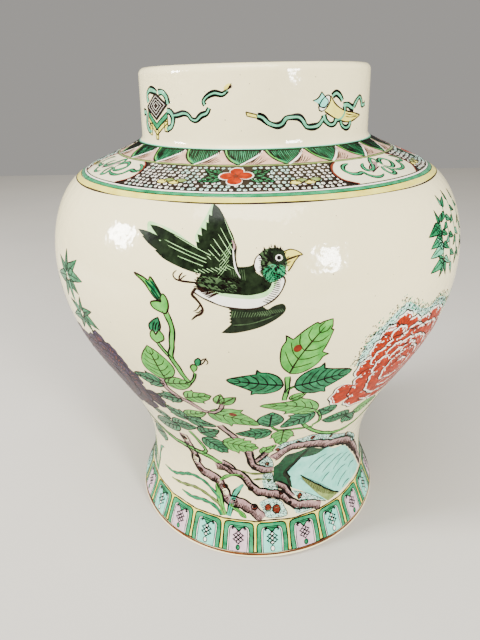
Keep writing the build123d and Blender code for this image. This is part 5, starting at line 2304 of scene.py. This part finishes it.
    @staticmethod
    def feet(brush: Brush) -> None:
        """Thin legs with curling toes.

        Args:
            brush: The brush to paint with.
        """
        for path, width in (
            ([(-32, 41.5), (-38, 41.4), (-45, 41.5), (-49.2, 42.6), (-50.6, 45.4), (-48.2, 47.8)], 0.8),
            ([(-46, 41.6), (-46.6, 44), (-44.4, 47)], 0.65),
            ([(-46, 42.2), (-43.4, 44.6), (-41.8, 45.4)], 0.6),
            ([(-36, 38), (-38.4, 34), (-36, 31.4), (-33, 28), (-31.6, 24.6), (-33, 22), (-36, 20.4),
              (-39.4, 17.4)], 1.1),
            ([(-33.4, 27.4), (-35.6, 24.4), (-38, 23.4)], 0.65),
            ([(-32.4, 25), (-34.4, 22.8), (-36.6, 22.6)], 0.6),
        ):
            brush.stroke(Enamel.SEPIA, path, width, LINE, Thin.LAST)

    @staticmethod
    def low_wing(brush: Brush) -> None:
        """The far wing under the belly, with a ragged inner edge.

        Args:
            brush: The brush to paint with.
        """
        ragged = [(-16 + (1.4 if k % 2 else 0.0), 26 - 1.05 * k) for k in range(10)]
        sweep = [(-21, 10), (-21, 10), (-14, 10), (-6, 11.6), (3, 14.4), (11, 18.6), (16.6, 23), (18, 26.6),
                 (16, 29.2), (11, 28.2), (7, 26), (4, 27.8), (-2, 26.6)]
        brush.fill(Enamel.BOTTLE, [(-16, 26.4)] + ragged + sweep, WASH)
        for k in range(16):
            x = -13.4 + 1.5 * k
            brush.stroke(Enamel.MOSS, [(x, 24.8 - 0.1 * k), (x - 1.2, 20.6 + 0.08 * k)], 0.5, LINE,
                         Thin.NONE, 0.0)
        for k in range(12):
            x = 1.0 + 1.3 * k
            brush.stroke(Enamel.MOSS, [(x, 24.5 + 0.15 * k), (x + 1.6, 22 + 0.2 * k)], 0.6, LINE, Thin.NONE,
                         0.0)
        brush.stroke(Enamel.MOSS, [(-14, 15.6), (-4, 16.6), (6, 19.6), (13, 22.6)], 0.6, LINE, Thin.BOTH, 0.0)


# ---- the neck --------------------------------------------------------------------------------
@dataclass
class NeckEmblems:
    """A ribboned chest on a stand and a ribboned horn, drawn in millimetres round the neck's middle."""

    wall: Wall
    azimuth: float
    label: str

    def paint(self) -> None:
        """Paint both emblems."""
        brush = Brush(self.wall, f"{self.label}_neck_emblems", 60, place=Place(self.azimuth, -25.0))
        self.chest(brush)
        self.horn(brush)
        brush.finish()

    @staticmethod
    def ribbon(brush: Brush, path: Path, width: float) -> None:
        """A green ribbon with dark edges.

        Args:
            brush: The brush to paint with.
            path: Its middle line.
            width: Its width in mm.
        """
        brush.stroke(Enamel.INK, path, (width + 2.7) / LINE_WEIGHT, WASH, Thin.NONE, 0.0)
        brush.stroke(Enamel.JADE_PALE, path, width - 0.3, LINE, Thin.NONE, 0.0)

    def chest(self, brush: Brush) -> None:
        """The dark patterned chest, its green and cream stand and its ribbons.

        Args:
            brush: The brush to paint with.
        """
        self.ribbon(brush, [(-91, 2), (-92, 7), (-87, 10), (-81, 9.6), (-77, 8)], 2.6)
        self.ribbon(brush, [(-75, 8.4), (-70, 8.6), (-66, 5.6), (-64.6, 1)], 2.8)
        self.ribbon(brush, [(-66, -3), (-62, -4), (-60, -8), (-62, -13), (-67, -15)], 2.6)
        self.ribbon(brush, [(-102, -5), (-96, -5.4), (-95.6, -13), (-92, -17), (-87, -17.4)], 2.6)
        for x, high, low in ((-88, -12, -20), (-79, -16, -22.4), (-67.6, -10, -16.6)):
            leg = [(x - 2, high), (x + 2, high), (x + 1.6, low), (x - 1.8, low)]
            brush.fill(Enamel.STRAW, leg, TINT, smooth=False)
            brush.stroke(Enamel.INK, leg + leg[:1], 0.6, LINE, Thin.NONE, smooth=False)
        for enamel, drop, deep in ((Enamel.STRAW, -7.4, 3.6), (Enamel.JADE, -3.2, 4.2)):
            band = [(-92, drop), (-79, drop - 8.4), (-65.6, drop - 0.6), (-65.6, drop - deep),
                    (-79, drop - 8.4 - deep), (-92, drop - deep + 0.4)]
            brush.fill(enamel, band, TINT, smooth=False)
            brush.stroke(Enamel.INK, band + band[:1], 0.65, LINE, Thin.NONE, smooth=False)
        lid = [(-93, -1.4), (-79, 8.2), (-65, 0.8), (-79, -9.4)]
        brush.fill(Enamel.GROUND, lid, LINE, smooth=False)
        for share in (0.78, 0.5, 0.26):
            ring = [(-79 + (x + 79) * share, y * share) for x, y in lid]
            brush.stroke(Enamel.CREAM, ring + ring[:1], 0.32, TOP, Thin.NONE, 0.0, smooth=False)
        brush.stroke(Enamel.INK, lid + lid[:1], 0.6, TOP, Thin.NONE, smooth=False)
        streamer = [(-60, -6), (-55, -5.4), (-50.5, -4.4), (-46.4, -5.2), (-43.6, -8), (-40, -8.6),
                    (-36, -5.6), (-32, -4.2), (-30, -1)]
        self.ribbon(brush, streamer, 1.6)
        self.ribbon(brush, [(-33, 0.6), (-34, 3), (-31, 6), (-26, 7.8), (-20.6, 7), (-17, 9.4)], 1.4)
        for drift in (-1.0, 0.0, 1.0):
            brush.stroke(Enamel.SEPIA, [(-18.4, 8.6 + drift * 0.4), (-14 + drift * 0.3, 12.4 - drift)], 0.6,
                         LINE, Thin.LAST)
        brush.stroke(Enamel.STRAW, [(-19.4, 9.6), (-15.2, 13.2)], 2.4, WASH, Thin.BOTH)

    def horn(self, brush: Brush) -> None:
        """The yellow horn with its white ring, its scroll and its green ties.

        Args:
            brush: The brush to paint with.
        """
        tag = [(-5.2, -3.6), (-4.6, -6.0), (2.2, -7.6), (1.6, -5.2)]
        brush.fill(Enamel.STRAW, tag, TINT, smooth=False)
        brush.stroke(Enamel.SEPIA, tag + tag[:1], 0.5, LINE, Thin.NONE, smooth=False)
        long = [(2, -6.2), (5.4, -7.2), (9.6, -10.8), (15, -12.4), (18.6, -11.2), (21, -8.2), (25, -7.6),
                (30, -7.8), (33, -10.2), (35.6, -13.6), (40, -14.2), (45, -13.2), (48.6, -9.4)]
        self.ribbon(brush, long, 2.0)
        self.ribbon(brush, [(49, -7), (50.4, -10.6), (55, -13.6), (59, -12.8), (60.4, -9.8)], 2.0)
        self.ribbon(brush, [(65, -11.6), (66.4, -14.6), (71, -16.6), (75, -15.2), (76, -12)], 1.8)
        self.ribbon(brush, [(56, 4), (59.4, 5.8), (63.4, 4), (66, 1)], 1.9)
        self.ribbon(brush, [(67, -2), (72, -1.8), (77, -3.8), (80, -4.4)], 2.4)
        self.ribbon(brush, [(80, -3.4), (83, -0.4), (88, 2.6), (91.4, 0.6), (94, -3), (100, -2)], 1.8)
        body = [(54.6, 4.4), (54.6, 4.4), (59.6, -1), (67, -4.8), (77, -6.6), (90, -9.4), (90, -9.4),
                (80, -12.2), (70, -12.6), (60, -10), (49.6, -5), (49.6, -5)]
        brush.fill(Enamel.STRAW, body, TINT)
        brush.stroke(Enamel.SEPIA, body[1:-1], 0.7, LINE, Thin.NONE)
        for low in (0.0, 1.6):
            brush.stroke(Enamel.SEPIA, [(70, -7.4 - low), (77, -8.4 - low), (85, -9.2 - low * 0.5)], 0.45,
                         LINE, Thin.BOTH)
        mouth = [(49.6 + 6.0 * math.cos(a) * 0.71 - 3.2 * math.sin(a) * 0.71, 0.1 + 6.0 * math.cos(a) * 0.71
                  + 3.2 * math.sin(a) * 0.71) for a in turns(12)]
        brush.fill(Enamel.CREAM, mouth, LINE)
        brush.stroke(Enamel.INK, mouth + mouth[:1], 0.7, TOP, Thin.NONE)
        scroll = [(40, 1.8), (40, 1.8), (44, 3.4), (46.8, 6.8), (46.8, 6.8), (49.8, 3.6), (52.4, 1.2),
                  (50, -2.4), (46, -2.2), (44, 0)]
        brush.fill(Enamel.SEA, scroll, TOP)
        brush.stroke(Enamel.INK, scroll[1:], 0.6, TOP + 0.03, Thin.NONE)
        self.ribbon(brush, [(68.4, -2), (69, -6), (66, -9.8), (60.6, -11)], 1.9)


@dataclass
class FiringMarks:
    """Stray specks of ash and pinholes that came out dark in the kiln."""

    wall: Wall
    neck: int = 34
    body: int = 90

    def paint(self) -> None:
        """Scatter the specks."""
        brush = Brush(self.wall, "firing_specks", 70)
        for count, high, low in ((self.neck, -44, -4), (self.body, 64, 250)):
            for _ in range(count):
                brush.place = Place(brush.chance.uniform(0, 360), brush.chance.uniform(high, low))
                brush.dot(Enamel.SEPIA, (0, 0), brush.chance.uniform(0.16, 0.42), HAZE, 6)
        brush.finish()


# ---- studio ----------------------------------------------------------------------------------
@dataclass(frozen=True)
class Softbox:
    """A rectangular soft light that faces the jar's middle."""

    name: str
    spot: tuple[float, float, float]  # m
    size: tuple[float, float]  # m
    power: float  # W

    def hang(self) -> None:
        """Add the light to the scene."""
        light = bpy.data.lights.new(self.name, "AREA")
        light.shape = "RECTANGLE"
        light.size, light.size_y = self.size
        light.energy = self.power
        lamp = bpy.data.objects.new(self.name, light)
        lamp.location = self.spot
        lamp.rotation_euler = (Vector((0, 0, 0.2)) - Vector(self.spot)).to_track_quat("-Z", "Y").to_euler()
        bpy.context.scene.collection.objects.link(lamp)


@dataclass
class Studio:
    """A pale floor, soft lights and the camera."""

    distance: float = 439.6  # mm in front of the jar's axis
    height: float = 391.6
    pitch: float = -25.61  # degrees
    yaw: float = -2.0
    roll: float = -1.33
    lens: float = 28.125
    floor_size: float = 4.0  # m
    lights: tuple[Softbox, ...] = (
        Softbox("key_light", (-1.82, -0.42, 0.98), (0.42, 0.5), 92.0),
        Softbox("fill_light", (1.14, -1.52, 0.82), (0.36, 0.5), 72.0),
        Softbox("top_light", (-0.1, -0.5, 1.9), (1.2, 0.8), 34.0),
    )

    def build(self) -> None:
        """Set up floor, world, lights and camera."""
        self.floor()
        self.world()
        for light in self.lights:
            light.hang()
        self.camera()

    def floor(self) -> None:
        """A plain, faintly mottled floor."""
        half = self.floor_size / 2
        mesh = bpy.data.meshes.new("floor")
        mesh.from_pydata([(-half, -half, 0), (half, -half, 0), (half, half, 0), (-half, half, 0)], [],
                         [(0, 1, 2, 3)])
        material, tree, place = new_material("matt_backdrop_paper")
        haze = add_node(tree, "ShaderNodeTexNoise", {"Scale": 6.0, "Detail": 2.0}, {"Vector": place})
        tone = add_node(tree, "ShaderNodeMix", {"data_type": "RGBA", MIX_A: linear("#BDB8AE"),
                                                MIX_B: linear("#C4BFB5")},
                        {"Factor": haze.outputs[0]})
        cover(material, tree, {"Roughness": 0.9}, {"Base Color": tone.outputs[MIX_RESULT]})
        mesh.materials.append(material)
        floor = bpy.data.objects.new("floor", mesh)
        bpy.context.scene.collection.objects.link(floor)

    @staticmethod
    def world() -> None:
        """An even, pale surround."""
        world = bpy.data.worlds.new("studio")
        world.use_nodes = True
        world.node_tree.nodes["Background"].inputs[0].default_value = linear("#F2EEE8")
        world.node_tree.nodes["Background"].inputs[1].default_value = 0.42
        bpy.context.scene.world = world

    def camera(self) -> None:
        """A hand-held camera a little above the mouth, looking down at the front."""
        yaw, pitch, roll = (math.radians(a) for a in (self.yaw, self.pitch, self.roll))
        ahead = Vector((math.sin(yaw) * math.cos(pitch), math.cos(yaw) * math.cos(pitch), math.sin(pitch)))
        level = ahead.cross(Vector((0, 0, 1))).normalized()
        upright = level.cross(ahead)
        right = level * math.cos(roll) + upright * math.sin(roll)
        up = upright * math.cos(roll) - level * math.sin(roll)
        data = bpy.data.cameras.new("camera")
        data.lens = self.lens
        camera = bpy.data.objects.new("camera", data)
        turn = Matrix((right, up, -ahead)).transposed().to_4x4()
        camera.matrix_world = Matrix.Translation(Vector((0, -self.distance, self.height)) * MM) @ turn
        bpy.context.scene.collection.objects.link(camera)
        bpy.context.scene.camera = camera


def main() -> None:
    """Build the jar's looks and the studio, in the order in which the real jar is made."""
    logging.basicConfig(level=logging.INFO, format="%(name)s: %(message)s")
    wall = Wall().measure()
    GlazedPot(wall).build()
    for border in (NeckLine(wall), WaveBand(wall), RoeBand(wall), ShoulderLines(wall), FootBorder(wall)):
        border.paint()
    sides = {"front": Place(0.0, 150.0), "back": Place(180.0, 150.0, mirrored=True)}
    for label, place in sides.items():
        for motif in (FarRocks, Grass, Rockery, Magnolia, Peonies, Bamboo, Bird):
            motif(wall, place, label).paint()
    NeckEmblems(wall, 0.0, "front").paint()
    NeckEmblems(wall, 180.0, "back").paint()
    FiringMarks(wall).paint()
    Studio().build()


if __name__ == "__main__":
    main()
